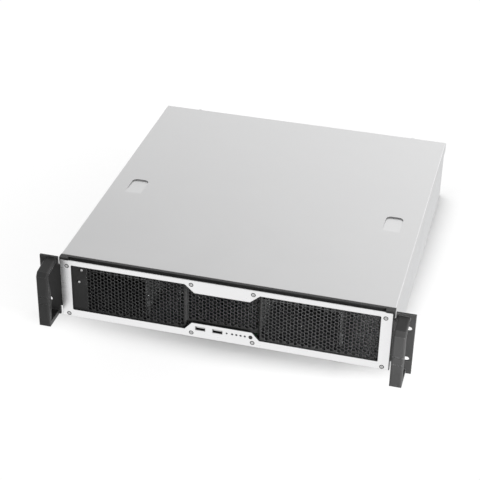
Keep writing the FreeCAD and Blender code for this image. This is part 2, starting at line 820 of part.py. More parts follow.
def rack_slot_heights():
    return [s.slot_low, s.slot_low + s.slot_pitch]


def handle_screws():
    """Flat screws from the legs' outer faces into the pan's walls."""
    solids = []
    outer = flange_inner
    length = outer - half_inside + s.screw_grip
    for side in (-1, 1):
        for y, z in leg_screw_places():
            place = (side * outer, y, z)
            tall = s.screw_shank
            solids.append(pan_head(place, (-side, 0, 0), length, s.screw_shank,
                                   s.leg_screw_head, tall))
    group("handle_screws", solids)


def usb_socket(name, x):
    """A metal shell with its contact tongue."""
    body = new_body(name)
    low = s.control_height - s.usb_tall / 2
    high = s.control_height + s.usb_tall / 2
    half = s.usb_width / 2
    wall = s.usb_wall
    front = s.slide_gap
    back = front + s.usb_depth
    shell = rect(x - half, low, x + half, high)
    cavity = rect(x - half + wall, low + wall, x + half - wall, high - wall)
    add(body, "shell", "XZ", [shell, cavity], front, back)
    add(body, "back_wall", "XZ", [cavity], back - wall * 2, back)
    tongue_top = high - wall * 2
    tongue = rect(x - half + wall * 3, tongue_top - s.usb_tongue, x + half - wall * 3, tongue_top)
    add(body, "tongue", "XZ", [tongue], front + wall * 3, back)


def front_io_board():
    body = new_body("front_io_board")
    half = s.io_board_half
    board = rect(-half, s.io_board_front, half, s.io_board_back)
    add(body, "board", "XY", [board], board_top - s.io_board_thick, board_top)
    holes = [circle(x, y, s.screw_shank + s.fit_gap) for x, y in io_screw_places()]
    cut(body, "screw_holes", "XY", holes, board_top - s.io_board_thick - 1, board_top + 1)


def io_screw_places():
    back = s.io_board_back - s.io_screw_inset
    reach = s.io_board_half - s.io_screw_inset
    return [(-reach, back), (reach, back)]


def io_bracket():
    """Folded shelf that carries the front board above the floor."""
    body = new_body("io_bracket")
    t = s.pan_sheet
    shelf_top = board_top - s.io_board_thick
    back = s.io_board_back + t
    foot = back + s.return_depth / 2
    profile = [(s.io_board_front + 1, shelf_top - t), (back - t, shelf_top - t), (back - t, t)]
    profile += [(foot, t), (foot, t * 2), (back, t * 2), (back, shelf_top)]
    profile += [(s.io_board_front + 1, shelf_top)]
    add(body, "folded_sheet", "YZ", [profile], -s.io_board_half, s.io_board_half)
    holes = [circle(x, y, s.screw_shank + s.fit_gap / 4) for x, y in io_screw_places()]
    cut(body, "screw_holes", "XY", holes, shelf_top - t - 1, shelf_top + 1)


def io_screws():
    solids = []
    for x, y in io_screw_places():
        place = (x, y, board_top)
        length = s.io_board_thick + s.pan_sheet + 1
        solids.append(pan_head(place, (0, 0, -1), length, s.screw_shank, s.screw_head, s.screw_tall))
    group("io_screws", solids)


def led(name, x):
    """Light pipe in the bezel with its lamp on the board."""
    body = new_body(name)
    row = s.control_height
    lens = [circle(x, row, s.led_radius)]
    lamp_front = s.io_board_front + s.lamp_inset
    add(body, "lens", "XZ", lens, s.slide_gap, lamp_front)
    half = s.led_radius + s.lamp_lap
    lamp = rect(x - half, board_top, x + half, row + half)
    add(body, "lamp", "XZ", [lamp], lamp_front, lamp_front + s.lamp_depth)


def button(name, x, radius, proud):
    """A round button with a collar behind the bezel and a stem into its switch."""
    body = new_body(name)
    row = s.control_height
    collar_front = s.bezel_thick + s.slide_gap
    collar_back = collar_front + s.collar_thick
    add(body, "cap", "XZ", [circle(x, row, radius)], -proud, collar_back)
    add(body, "collar", "XZ", [circle(x, row, radius + s.button_collar)], collar_front, collar_back)
    stem_end = s.switch_front + s.slide_gap
    add(body, "stem", "XZ", [circle(x, row, s.reset_radius)], collar_back, stem_end)


def push_switch(name, x):
    """Square switch on the board, with a well that the button's stem enters."""
    body = new_body(name)
    half = s.switch_size / 2
    block = rect(x - half, board_top, x + half, board_top + s.switch_size)
    well = circle(x, s.control_height, s.reset_radius + s.slide_gap)
    front = s.switch_front
    back = front + s.switch_depth
    add(body, "housing", "XZ", [block], front, back)
    depth = s.slide_gap * 2 + s.button_travel
    cut(body, "well", "XZ", [well], front - 1, front + depth)


def fan_places():
    return [fan_first + fan_pitch * number for number in range(FANS)]


def fan_hole_places(x):
    reach = half_fan - s.fan_hole_inset / 2
    middle = fan_height
    return [(x + i * reach, middle + j * reach) for i in (-1, 1) for j in (-1, 1)]


def fan_wall():
    """Upright sheet across the case that carries the fans."""
    body = new_body("fan_wall")
    t = s.pan_sheet
    place = fan_wall_place
    left = -(half_inside - s.fit_gap)
    wall = rect(left, t, fan_wall_right, fan_wall_tall)
    loops = [wall] + [circle(x, fan_height, fan_bore) for x in fan_places()]
    for x in fan_places():
        shank = s.screw_shank + s.fit_gap
        loops += [circle(u, v, shank) for u, v in fan_hole_places(x)]
    add(body, "wall", "XZ", loops, place, place + t)
    low = s.return_depth
    top = fan_wall_tall
    foot = rect(place - low, t, place, t * 2)
    brow = rect(place - low, top - t, place, top)
    end = fan_wall_right
    add(body, "foot", "YZ", [foot], left, end)
    add(body, "brow", "YZ", [brow], left, end)


def fan_frame(name, x):
    """Fan housing: two square flanges on a round duct, with the motor's spider."""
    body = new_body(name)
    front = fan_wall_place + s.pan_sheet
    back = front + s.fan_depth
    middle = fan_height
    half = half_fan
    bore = fan_bore
    holes = [circle(u, v, s.screw_shank + s.fit_gap) for u, v in fan_hole_places(x)]
    square = rect(x - half, middle - half, x + half, middle + half)
    add(body, "front_flange", "XZ", [square, circle(x, middle, bore)] + holes,
        front, front + s.fan_flange)
    duct = [circle(x, middle, half - s.fan_duct_step), circle(x, middle, bore)]
    add(body, "duct", "XZ", duct, front + s.fan_flange, back - s.fan_flange)
    add(body, "back_flange", "XZ", [square, circle(x, middle, bore)] + holes,
        back - s.fan_flange, back)
    arm = s.fan_arm
    reach = bore + s.fan_rim / 4
    thick = s.fan_flange - s.fan_arm_gap
    flat = rect(x - reach, middle - arm, x + reach, middle + arm)
    upright = rect(x - arm, middle - reach, x + arm, middle + reach)
    add(body, "cross_arm", "XZ", [flat], back - thick, back)
    add(body, "upright_arm", "XZ", [upright], back - thick, back)
    add(body, "motor_seat", "XZ", [circle(x, middle, s.fan_hub)], back - thick, back)
    cut(body, "shaft_bore", "XZ", [circle(x, middle, s.fan_shaft + s.fit_gap / 4)], back - thick - 1,
        back + 1)


def fan_rotor(name, x):
    """Hub and shaft with twisted blades, each lofted from its root to its tip."""
    front = fan_wall_place + s.pan_sheet + s.fan_front_gap
    seat = fan_wall_place + s.pan_sheet + s.fan_depth - s.fan_flange + s.fan_arm_gap
    hub_back = seat - s.slide_gap
    middle = Vector(x, 0, fan_height)
    along = Vector(0, 1, 0)
    tip = fan_bore - s.fan_tip_gap
    hub = s.fan_hub
    bevel = s.fan_hub_bevel
    shaft_back = seat + s.fan_shaft_end
    points = [(0, front), (hub - bevel, front), (hub, front + bevel), (hub, hub_back)]
    points += [(s.fan_shaft, hub_back), (s.fan_shaft, shaft_back), (0, shaft_back)]
    solid = turned(points, middle, along)
    deep = hub_back - front - bevel * 2
    centre_y = (front + hub_back) / 2
    blades = []
    for number in range(BLADES):
        sections = []
        for radius, pitch, chord in zip((hub - 1, tip), BLADE_PITCHES, BLADE_CHORDS):
            lean = math.radians(pitch)
            run = Vector(math.cos(lean), math.sin(lean), 0) * float(deep * chord / 2)
            wall = Vector(-math.sin(lean), math.cos(lean), 0) * float(s.blade_wall)
            base = Vector(0, centre_y, float(radius))
            corners = [base - run - wall, base + run - wall, base + run + wall, base - run + wall]
            sections.append(Part.makePolygon(corners + corners[:1]))
        blade = Part.makeLoft(sections, True, True)
        blade.rotate(Vector(0, 0, 0), along, 360.0 * number / BLADES)
        blade.translate(middle)
        blades.append(blade)
    swept = Part.makeCylinder(tip, hub_back - front, Vector(x, front, fan_height), along)
    rotor = solid.multiFuse([blade.common(swept) for blade in blades])
    new_feature(name, rotor.removeSplitter())


def fan_screws():
    solids = []
    length = s.pan_sheet + s.fan_flange + 2
    for x in fan_places():
        for u, v in fan_hole_places(x):
            place = (u, fan_wall_place, v)
            solids.append(pan_head(place, (0, 1, 0), length, s.screw_shank, s.screw_head, s.screw_tall))
    group("fan_screws", solids)


def drive_cage(name, x):
    """Folded cage for two stacked drives, open in front and behind."""
    body = new_body(name)
    half = s.cage_width / 2
    t = s.cage_sheet
    floor = s.pan_sheet
    top = floor + s.cage_height
    front = s.cage_front
    back = front + cage_length
    shell = rect(x - half, floor, x + half, top)
    inside = rect(x - half + t, floor + t, x + half - t, top - t)
    add(body, "shell", "XZ", [shell, inside], front, back)
    tab = rect(x + half, s.cage_tab_low, x + half + s.cage_tab_width, s.cage_tab_top)
    add(body, "front_tab", "XZ", [tab], front, front + t)
    holes = []
    for level in DRIVE_LEVELS:
        z = floor + s.cage_height * level
        for share in DRIVE_HOLES:
            holes.append(slot(front + cage_length * share, z, s.slot_length, s.screw_head))
    cut(body, "drive_slots", "YZ", holes, x - half - 1, x + half + 1)
    shank = s.screw_shank + s.fit_gap / 4
    feet = [circle(u, v, shank) for u, v in cage_screw_places() if abs(u - x) < half]
    cut(body, "floor_holes", "XY", feet, 0, floor + t + 1)
    rim = s.cage_rim
    window = rect(x - half + rim, front + rim, x + half - rim, back - rim)
    cut(body, "top_window", "XY", [window], top - t - 1, top + 1)


def cage_screw_places():
    places = []
    for x in (cage_left, s.cage_right):
        reach = s.cage_width / 2 - s.cage_foot_side
        end = s.cage_foot_end
        for y in (s.cage_front + end, s.cage_front + cage_length - end):
            places += [(x - reach, y), (x + reach, y)]
    return places


def cage_screws():
    solids = []
    top = s.pan_sheet + s.cage_sheet
    for x, y in cage_screw_places():
        solids.append(pan_head((x, y, top), (0, 0, -1), top - s.slide_gap, s.screw_shank,
                               s.screw_head, s.screw_tall))
    group("cage_screws", solids)


def psu_rail():
    """Angle on the floor beside the power supply's bay, with a stop at its front."""
    body = new_body("psu_rail")
    t = s.pan_sheet
    inner = psu_left - t
    front = rear_inner - s.psu_rail_length
    tall = s.psu_rail_height
    wall = rect(inner - t, t, inner, t + tall)
    add(body, "wall", "XZ", [wall], front, rear_inner)
    stop = rect(inner, t, inner + s.psu_rail_height, t + tall)
    add(body, "stop", "XZ", [stop], front, front + t)
    foot = rect(inner, t, inner + s.return_depth, t * 2)
    add(body, "foot", "XZ", [foot], front + t, rear_inner)


def standoff_places():
    places = []
    right = io_right - s.board_hole_inset
    rear = rear_face - s.board_hole_rear
    for x in (right, right - s.board_column_2, right - s.board_column_3):
        for y in (rear, rear - s.board_row_2, rear - s.board_row_3):
            places.append((x, y))
    return places


def board_standoffs():
    """Threaded posts pressed into the floor, on the usual main-board grid."""
    floor = s.pan_sheet
    tall = s.standoff_height
    solids = []
    for x, y in standoff_places():
        points = [(s.screw_shank, floor), (s.standoff_radius, floor)]
        points += [(s.standoff_radius, floor + tall), (s.screw_shank, floor + tall)]
        solids.append(turned(points, (x, y, 0), (0, 0, 1)))
    group("board_standoffs", solids)


def slot_cover_places():
    return [first_slot - s.slot_cover_pitch * number for number in range(SLOT_COVERS)]


def rear_panel():
    """Rear wall with the board's and the power supply's openings and the card slots."""
    body = new_body("rear_panel")
    t = s.pan_sheet
    io_low = s.io_opening_low
    wall = rect(-half_inside, t, half_inside, lip_low)
    loops = [wall, rect(io_left, io_low, io_right, io_low + s.io_opening_height)]
    loops.append(rect(psu_left, s.psu_opening_low, psu_right, psu_opening_top))
    slot_half = s.slot_opening_width / 2
    for x in slot_cover_places():
        loops.append(rect(x - slot_half, s.slot_opening_low, x + slot_half, slot_opening_top))
    count = int(s.io_opening_width / s.vent_pitch)
    for number in range(count):
        x = io_left + s.vent_pitch * (number + 0.5)
        loops.append(rect(x - s.vent_width / 2, vent_low, x + s.vent_width / 2, vent_top))
    for sign in (-1, 1):
        loops.append(circle(thumb_x * sign, thumb_height, s.thumb_shank + s.slide_gap))
    add(body, "wall", "XZ", loops, rear_inner, rear_face)
    places = slot_cover_places()
    shelf_half = s.slot_cover_width / 2
    shelf_low = slot_shelf_low
    shelf = rect(places[-1] - shelf_half, rear_inner - s.slot_shelf_depth,
                 places[0] + shelf_half, rear_inner)
    add(body, "slot_shelf", "XY", [shelf], shelf_low, shelf_low + t)
    holes = [circle(x, slot_screw_y(), s.screw_shank + s.fit_gap / 4) for x in places]
    cut(body, "shelf_holes", "XY", holes, shelf_low - 1, shelf_low + t + 1)


def slot_screw_y():
    return rear_inner - s.slot_shelf_depth / 2


def slot_cover(name, x):
    """Blanking plate behind one card slot, with its bent tab under the shelf."""
    body = new_body(name)
    t = s.slot_cover_sheet
    half = s.slot_cover_width / 2
    low = s.slot_opening_low - s.slot_lap
    top = slot_shelf_low
    reach = s.slot_shelf_depth
    profile = [(rear_inner, low), (rear_inner, top), (rear_inner - reach, top)]
    profile += [(rear_inner - reach, top - t), (rear_inner - t, top - t), (rear_inner - t, low)]
    add(body, "plate", "YZ", [profile], x - half, x + half)
    hole = circle(x, slot_screw_y(), s.screw_shank + s.fit_gap / 4)
    cut(body, "screw_hole", "XY", [hole], top - t - 1, top + 1)


def slot_cover_screws():
    solids = []
    top = slot_shelf_low + s.pan_sheet
    length = s.pan_sheet + s.slot_cover_sheet + 2
    for x in slot_cover_places():
        solids.append(pan_head((x, slot_screw_y(), top), (0, 0, -1), length, s.screw_shank,
                               s.screw_head, s.screw_tall))
    group("slot_cover_screws", solids)


def top_cover():
    """Sliding cover with folded edges and two ramped push pads."""
    body = new_body("top_cover")
    t = s.cover_sheet
    high = s.case_height
    low = high - s.cover_skirt
    front = s.strip_depth
    back = s.case_depth
    profile = [(-half_cover, low), (-half_cover, high), (half_cover, high), (half_cover, low)]
    profile += [(half_cover - t, low), (half_cover - t, high - t)]
    profile += [(t - half_cover, high - t), (t - half_cover, low)]
    add(body, "folded_sheet", "XZ", [profile], front, back)
    rear = rect(-half_cover, low, half_cover, high)
    add(body, "rear_skirt", "XZ", [rear], back - t, back)
    boss_low = high - t - s.pad_depth
    half_pad = s.pad_width / 2
    bosses = []
    wells = []
    for sign in (-1, 1):
        x = pad_middle * sign
        bosses.append(rect(x - half_pad - t, s.pad_front, x + half_pad + t, s.pad_back + t))
        wells.append(rect(x - half_pad, s.pad_front, x + half_pad, s.pad_back))
    add(body, "pad_bosses", "XY", bosses, boss_low, high - t)
    cut(body, "pad_wells", "XY", wells, high - s.pad_depth, high + 1)

    def pad_corner(box):
        upright = near(box.XLength, 0) and near(box.YLength, 0) and near(box.ZMax, high)
        return upright and near(box.YMin, s.pad_back) and near(box.ZLength, s.pad_depth)

    soften(body, "pad_corners", s.pad_corner, pad_corner)
    floor = high - s.pad_depth
    ramp = [(s.pad_front, floor), (s.pad_back, floor), (s.pad_front, high)]
    for sign, label in ((-1, "left"), (1, "right")):
        x = pad_middle * sign
        add(body, "pad_ramp_" + label, "YZ", [ramp], x - half_pad, x + half_pad)
    holes = [circle(thumb_x * sign, thumb_height, s.thumb_shank + s.fit_gap)
             for sign in (-1, 1)]
    cut(body, "thumb_holes", "XZ", holes, back - t * 2, back + 1)

    def long_bend(box):
        along = box.YLength > 100 and near(box.ZMin, high) and near(box.ZMax, high)
        return along and near(abs(box.XMin), half_cover)

    def rear_bend(box):
        across = box.XLength > 100 and near(box.ZMin, high) and near(box.ZMax, high)
        return across and near(box.YMin, back)

    def front_edge(box):
        across = box.XLength > 100 and near(box.ZMin, high) and near(box.ZMax, high)
        return across and near(box.YMin, front)

    soften(body, "bends", s.cover_bend, lambda box: long_bend(box) or rear_bend(box))
    soften(body, "front_roll", t * 0.7, front_edge)


def cover_thumbscrews():
    """Knurled screws that hold the cover's rear skirt to the rear wall."""
    back = s.case_depth
    radius = s.thumb_radius
    shank = s.thumb_shank
    end = s.thumb_length
    neck = s.thumb_neck
    low = s.thumb_neck_length
    rim = end - s.thumb_step
    reach = s.pan_sheet + s.cover_sheet + s.screw_grip + s.screw_shank
    points = [(0, end), (s.thumb_face, end), (s.thumb_face, rim), (radius, rim)]
    points += [(radius, low), (neck, low), (neck, 0), (shank, 0), (shank, -reach), (0, -reach)]
    solids = []
    for sign in (-1, 1):
        place = (thumb_x * sign, back, thumb_height)
        solids.append(turned(points, place, (0, 1, 0)))
    group("cover_thumbscrews", solids)


base_pan()
rear_panel()
front_frame()
mesh_grille()
mesh_screws()
bezel_plate()
bezel_screws()
handle(-1, "handle_left")
handle(1, "handle_right")
handle_screws()
usb_socket("usb_socket_left", s.usb_left)
usb_socket("usb_socket_right", s.usb_right)
front_io_board()
io_bracket()
io_screws()
for number, place in enumerate(led_places(), start=1):
    led(f"status_light_{number}", place)
button("power_button", s.power_place, s.power_radius, s.power_proud)
button("reset_button", s.reset_place, s.reset_radius, -s.reset_sunk)
push_switch("power_switch", s.power_place)
push_switch("reset_switch", s.reset_place)
fan_wall()
for number, place in enumerate(fan_places(), start=1):
    fan_frame(f"fan_frame_{number}", place)
    fan_rotor(f"fan_rotor_{number}", place)
fan_screws()
drive_cage("drive_cage_left", cage_left)
drive_cage("drive_cage_right", s.cage_right)
cage_screws()
psu_rail()
board_standoffs()
for number, place in enumerate(slot_cover_places(), start=1):
    slot_cover(f"slot_cover_{number}", place)
slot_cover_screws()
top_cover()
cover_thumbscrews()

doc.recompute()

for thing in doc.Objects:
    if "Invalid" in thing.State or "Error" in thing.State:
        raise RuntimeError(f"{thing.Label} did not build: {thing.State}")
    if thing.TypeId == "PartDesign::Pocket":
        if thing.Shape.Volume >= thing.BaseFeature.Shape.Volume - 1e-6:
            raise RuntimeError(f"{thing.Label} cuts nothing")
for thing in NODES:
    if thing.Shape.isNull() or not thing.Shape.isValid():
        raise RuntimeError(f"{thing.Label} has no valid shape")

os.makedirs("parts", exist_ok=True)
for thing in NODES:
    thing.Shape.exportStep(f"parts/{thing.Label}.step")
print(len(NODES), "sub-parts written")
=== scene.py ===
import json
import math

import bmesh
import bpy
from mathutils import Matrix, Vector


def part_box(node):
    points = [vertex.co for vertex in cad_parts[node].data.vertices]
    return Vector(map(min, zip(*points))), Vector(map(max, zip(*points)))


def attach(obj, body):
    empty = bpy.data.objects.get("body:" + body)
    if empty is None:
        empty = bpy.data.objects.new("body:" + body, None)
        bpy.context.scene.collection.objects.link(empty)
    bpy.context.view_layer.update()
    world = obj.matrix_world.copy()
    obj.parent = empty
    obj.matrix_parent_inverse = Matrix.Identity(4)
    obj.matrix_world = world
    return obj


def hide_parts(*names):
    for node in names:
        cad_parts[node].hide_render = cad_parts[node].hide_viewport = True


# An empty 2U rackmount server case: satin steel cover, bright anodised front plate over a black
# hexagonal mesh, black cast handles. All sizes are in metres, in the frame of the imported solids.

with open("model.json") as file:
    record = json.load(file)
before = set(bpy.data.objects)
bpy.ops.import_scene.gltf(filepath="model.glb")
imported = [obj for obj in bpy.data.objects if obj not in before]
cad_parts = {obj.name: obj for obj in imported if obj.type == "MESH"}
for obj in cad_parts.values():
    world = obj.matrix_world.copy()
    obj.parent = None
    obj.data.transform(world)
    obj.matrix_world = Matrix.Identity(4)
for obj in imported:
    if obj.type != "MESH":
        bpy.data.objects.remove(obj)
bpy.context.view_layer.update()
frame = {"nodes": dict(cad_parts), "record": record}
cad_nodes = frame["nodes"]

MM = 0.001

# The front mesh at its real density
MESH_PITCH = 5.33 * MM          # from hole to hole, up a column
MESH_HOLE = 4.35 * MM           # across the flats of a hole
MESH_BURR = 0.16 * MM           # rolled edge of a punched hole
MESH_SHEET = 1.0 * MM           # thickness
MESH_BLANK = 20.0 * MM          # plain margin at the left end, partly behind the front plate
MESH_EDGE = 2.2 * MM            # plain margin elsewhere, mostly behind the front plate
MESH_MIDDLE = 97.0 * MM         # width of the field that is set back
MESH_MIDDLE_LOW = 18.6 * MM     # its lower edge, above the controls
MESH_SLACK = MESH_PITCH / 100   # how far past a margin a hole still counts as inside
MESH_SPARE = 3.0                # rows and columns laid beyond the border, which trims them
TILE_WELD = 0.02 * MM           # corners of neighbouring tiles this close become one
SHEET_WELD = 0.002 * MM         # the same for the front and the extruded back
EMPTY_FACE = 1e-10              # area of a tile that the border has squeezed flat, in m2

# The small screws
SCREW_SIDES = 20
SCREW_SEED = 7
SCREW_TALL = 1.6 * MM           # height of a raised head
SCREW_SHANK = 1.5 * MM          # radius of the shank
SCREW_TOP = 0.62                # radius of a raised head's flat top, as a share of the head's
SHOULDER_IN = 0.25              # how far the shoulder leans from the head's rim to its top
SHOULDER_DEEP = 0.25            # its depth, as a share of the head's height
RIM_DEEP = 0.6                  # depth of the head's widest ring, likewise
FOOT_STEP = 0.01 * MM           # from under the head to the start of the shank
RECESS_SHARE = 0.95             # across the cross recess, as a share of the head's radius
RECESS_DEEP = 0.9 * MM
RECESS_BAR = 0.24               # thickness of one bar of the cross, as a share of its length
RING_INSIDE = 1.9 * MM          # where a bezel screw's painted shade ring starts, from its middle
RING_BLUR = 0.15 * MM
SOLID_WELD = 1e-6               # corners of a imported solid's faces this close are one

# Camera of the photograph, in the frame
LENS = 100.81
SENSOR = 36.0
CAMERA_PLACE = Vector((0.365415, -1.547229, 1.006476))
CAMERA_TARGET = Vector((-0.025206, -0.035745, 0.040))
CAMERA_ROLL = 0.01911           # radians

# The room. Its bands are parts of a direction of unit length, from where a change starts to
# where it is complete.
ROOM_LIGHT = 0.34               # what falls on things from all round
ROOM_LOW = 1.92                 # mirrored in metal, low at the back and right
ROOM_HIGH = 0.42                # mirrored in metal, overhead and left
ROOM_GROUND = 1.20              # mirrored in metal just over the ground
ROOM_FRONT = 1.10               # mirrored in metal from the front
ROOM_UP_BAND = (0.38, 0.62)     # upwards, from low to overhead
ROOM_UP_WEIGHT = 0.6
ROOM_RIGHT_BAND = (-0.40, 0.05)
ROOM_RIGHT_WEIGHT = 0.4
ROOM_GROUND_BAND = (0.38, 0.22)
ROOM_FRONT_BAND = (0.1, -0.3)

# The lamps, with size in metres and power in watts
LAMPS = {
    "top_softbox": {
        "place": (0.10, 0.5, 2.3), "target": (0, 0, 0), "size": (1.5, 1.1), "power": 42.0},
    "right_fill": {
        "place": (0.52, -0.52, 0.08), "target": (0.1, -0.22, 0.045), "size": (0.35, 0.12),
        "power": 6.4},
}

# The floor, which fades to white where the camera sees it and the photo has no shadow; next to the
# case this fading is painted light that lifts the shadow
FLOOR_HALF = 6.0
FLOOR_DROP = 0.4 * MM           # below the case's underside
FLOOR_GLOW = 1.03               # the white that the seen floor fades to
FLOOR_FAR_BAND = (0.28, 0.95)   # distance from the case's middle over which it turns white
FLOOR_CONTACT = 0.035           # next to the case, where the fading sets in
FLOOR_NEAR_SHARE = 0.25         # painted light: how far it has faded close in front of the case, lifting the shadow there
FLOOR_LEFT_SHARE = 0.62         # painted light that lifts the shadow at the case's left, which the photo shades only lightly
FLOOR_LEFT_BAND = (0.0, -0.20)
FLOOR_RIGHT_SHARE = 0.80        # painted light that lifts the shadow at its front right corner, which the photo leaves unshaded
FLOOR_RIGHT_BAND = (0.15, 0.21)
FLOOR_SIDE_SHARE = 0.60         # painted light that lifts the shadow beside its right wall and behind it
FLOOR_MIRRORED = 0.98           # the floor as metal shows it

NOISE_BAND = (0.3, 0.7)         # where the values of a noise mostly lie

# Kinds of node group sockets
FLOAT = "NodeSocketFloat"
COUNT = "NodeSocketInt"
VECTOR = "NodeSocketVector"
SHAPE = "NodeSocketGeometry"
MATERIAL = "NodeSocketMaterial"


def grey(value):
    """A colour without a hue, in linear light."""
    return (value, value, value, 1.0)


# Colours of the finishes and the floor, in linear light
COVER_DULL = (0.60, 0.60, 0.603, 1.0)
COVER_CLEAN = (0.65, 0.65, 0.652, 1.0)
COVER_LINE = grey(0.68)
# painted shade along the cover's edges
COVER_EDGE_SHADE = grey(0.50)
ZINC_DARK = (0.63, 0.635, 0.642, 1.0)
ZINC_LIGHT = (0.71, 0.715, 0.722, 1.0)
ZINC_AGED = grey(0.55)
# painted highlight along the galvanised sheet's edges
ZINC_EDGE_HIGHLIGHT = grey(0.88)
CAGE_DARK = (0.22, 0.223, 0.227, 1.0)
CAGE_LIGHT = (0.29, 0.293, 0.298, 1.0)
# painted highlight along the cages' edges
CAGE_EDGE_HIGHLIGHT = grey(0.50)
SILVER_DARK = (0.86, 0.86, 0.865, 1.0)
SILVER_LIGHT = (0.94, 0.94, 0.945, 1.0)
SILVER_WORN = grey(0.78)
# the bezel's cut edges, painted brighter as a highlight
SILVER_EDGE_HIGHLIGHT = grey(0.97)
# painted highlight along the screws' edges
SCREW_EDGE_HIGHLIGHT = grey(0.92)
RINGED_DARK = grey(0.66)
RINGED_LIGHT = grey(0.80)
# painted shade of the ring round a bezel screw's head
RING_PAINTED_SHADE = grey(0.05)
BOARD_DARK = (0.008, 0.055, 0.022, 1.0)
BOARD_LIGHT = (0.012, 0.075, 0.03, 1.0)
BOARD_TRACK = (0.03, 0.16, 0.06, 1.0)
# painted highlight along the plastic's edges
PLASTIC_EDGE_HIGHLIGHT = grey(0.12)
SMOKE_DARK = (0.012, 0.013, 0.016, 1.0)
SMOKE_LIGHT = (0.035, 0.037, 0.042, 1.0)
BRASS_DARK = (0.58, 0.40, 0.15, 1.0)
BRASS_LIGHT = (0.80, 0.60, 0.27, 1.0)
PAPER_DARK = grey(0.86)
PAPER_LIGHT = grey(0.88)
BLACK = grey(0.0)
WHITE = grey(1.0)


# Building node trees

def feed(tree, socket, value):
    """Links a socket to another one, or sets it to a plain value."""
    if isinstance(value, bpy.types.NodeSocket):
        tree.links.new(value, socket)
    else:
        socket.default_value = value


def add_node(tree, kind, inputs=None, **settings):
    """A node in a tree, with its inputs linked to sockets or set to plain values."""
    made = tree.nodes.new(kind)
    for name, value in settings.items():
        setattr(made, name, value)
    for name, value in (inputs or {}).items():
        feed(tree, made.inputs[name], value)
    return made


def result(tree, kind, inputs=None, **settings):
    """The first output of a new node."""
    return add_node(tree, kind, inputs, **settings).outputs[0]


def calculate(tree, operation, *values, clamp=False):
    """The result of one Math node."""
    return result(tree, "ShaderNodeMath", dict(enumerate(values)), operation=operation,
                  use_clamp=clamp)


def plus(tree, first, second):
    return calculate(tree, "ADD", first, second)


def minus(tree, first, second):
    return calculate(tree, "SUBTRACT", first, second)


def times(tree, first, second):
    return calculate(tree, "MULTIPLY", first, second)


def divide(tree, first, second):
    return calculate(tree, "DIVIDE", first, second)


def vector_math(tree, operation, inputs, output=0):
    """An output of one Vector Math node."""
    return add_node(tree, "ShaderNodeVectorMath", inputs, operation=operation).outputs[output]


def split_axes(tree, vector):
    """The outputs X, Y and Z of a vector."""
    return add_node(tree, "ShaderNodeSeparateXYZ", {0: vector}).outputs


def join_axes(tree, **axes):
    """A vector from its X, Y and Z; those left out are 0."""
    return result(tree, "ShaderNodeCombineXYZ", axes)


def blend_colour(tree, factor, first, second, share=None):
    """The colour between two others by a factor, or by a share of that factor."""
    if share is not None:
        factor = times(tree, factor, share)
    made = add_node(tree, "ShaderNodeMix", data_type="RGBA")
    for name, value in (("Factor_Float", factor), ("A_Color", first), ("B_Color", second)):
        feed(tree, next(s for s in made.inputs if s.identifier == name), value)
    return next(s for s in made.outputs if s.identifier == "Result_Color")


def remap(tree, value, band, low, high):
    """A value spread from a band to the range from low to high, and held at its ends."""
    return add_node(tree, "ShaderNodeMapRange", {
        "Value": value, "From Min": band[0], "From Max": band[1], "To Min": low,
        "To Max": high}).outputs["Result"]


def object_place(tree):
    """The shaded point in the object's own axes."""
    return add_node(tree, "ShaderNodeTexCoord").outputs["Object"]


def mix_shaders(tree, factor, first, second):
    """The first shader where the factor is 0, and the second where it is 1."""
    return result(tree, "ShaderNodeMixShader", {0: factor, 1: first, 2: second})


def new_group(name, inputs, outputs, kind="ShaderNodeTree"):
    """A node group whose sockets are given as name and kind."""
    tree = bpy.data.node_groups.new(name, kind)
    for way, sockets in (("INPUT", inputs), ("OUTPUT", outputs)):
        for label, socket_kind in sockets.items():
            tree.interface.new_socket(label, in_out=way, socket_type=socket_kind)
    return tree, tree.nodes.new("NodeGroupInput").outputs, tree.nodes.new("NodeGroupOutput").inputs


def use_group(tree, group, inputs):
    """The outputs of a node group that is set to these inputs."""
    return add_node(tree, "ShaderNodeGroup", inputs, node_tree=group).outputs


# Effects that several finishes share

def make_edge_group():
    """Rounded edges, and a mask that is 1 along them, along which the finishes paint highlights
    and shade.
    """
    tree, given, out = new_group(
        "edge_rounding", {"Radius": FLOAT, "Gain": FLOAT}, {"Normal": VECTOR, "Edge": FLOAT})
    rounded = result(tree, "ShaderNodeBevel", {"Radius": given["Radius"]}, samples=4)
    flat = add_node(tree, "ShaderNodeNewGeometry").outputs["True Normal"]
    agree = vector_math(tree, "DOT_PRODUCT", {0: rounded, 1: flat}, "Value")
    lost = minus(tree, 1.0, agree)
    tree.links.new(rounded, out["Normal"])
    tree.links.new(calculate(tree, "MULTIPLY", lost, given["Gain"], clamp=True), out["Edge"])
    return tree


def make_grain_group():
    """Fine noise stretched along the axes: rolling marks, brushing or cast skin."""
    tree, given, out = new_group(
        "surface_grain", {"Stretch": VECTOR, "Scale": FLOAT, "Detail": FLOAT}, {"Value": FLOAT})
    stretched = vector_math(tree, "MULTIPLY", {0: object_place(tree), 1: given["Stretch"]})
    noise = add_node(tree, "ShaderNodeTexNoise", {
        "Vector": stretched, "Scale": given["Scale"], "Detail": given["Detail"],
        "Roughness": 0.6})
    tree.links.new(noise.outputs["Fac"], out["Value"])
    return tree


def make_handling_group():
    """Broad uneven patches: wiping marks, oil film and light dust."""
    tree, given, out = new_group(
        "handling_marks", {"Scale": FLOAT, "Sharpness": FLOAT}, {"Mask": FLOAT})
    broad = add_node(tree, "ShaderNodeTexNoise", {
        "Vector": object_place(tree), "Scale": given["Scale"], "Detail": 4.0,
        "Roughness": 0.55, "Distortion": 0.6})
    spread = minus(tree, 0.5, times(tree, given["Sharpness"], 0.5))
    band = (minus(tree, 0.5, spread), plus(tree, 0.5, spread))
    tree.links.new(remap(tree, broad.outputs["Fac"], band, 0.0, 1.0), out["Mask"])
    return tree


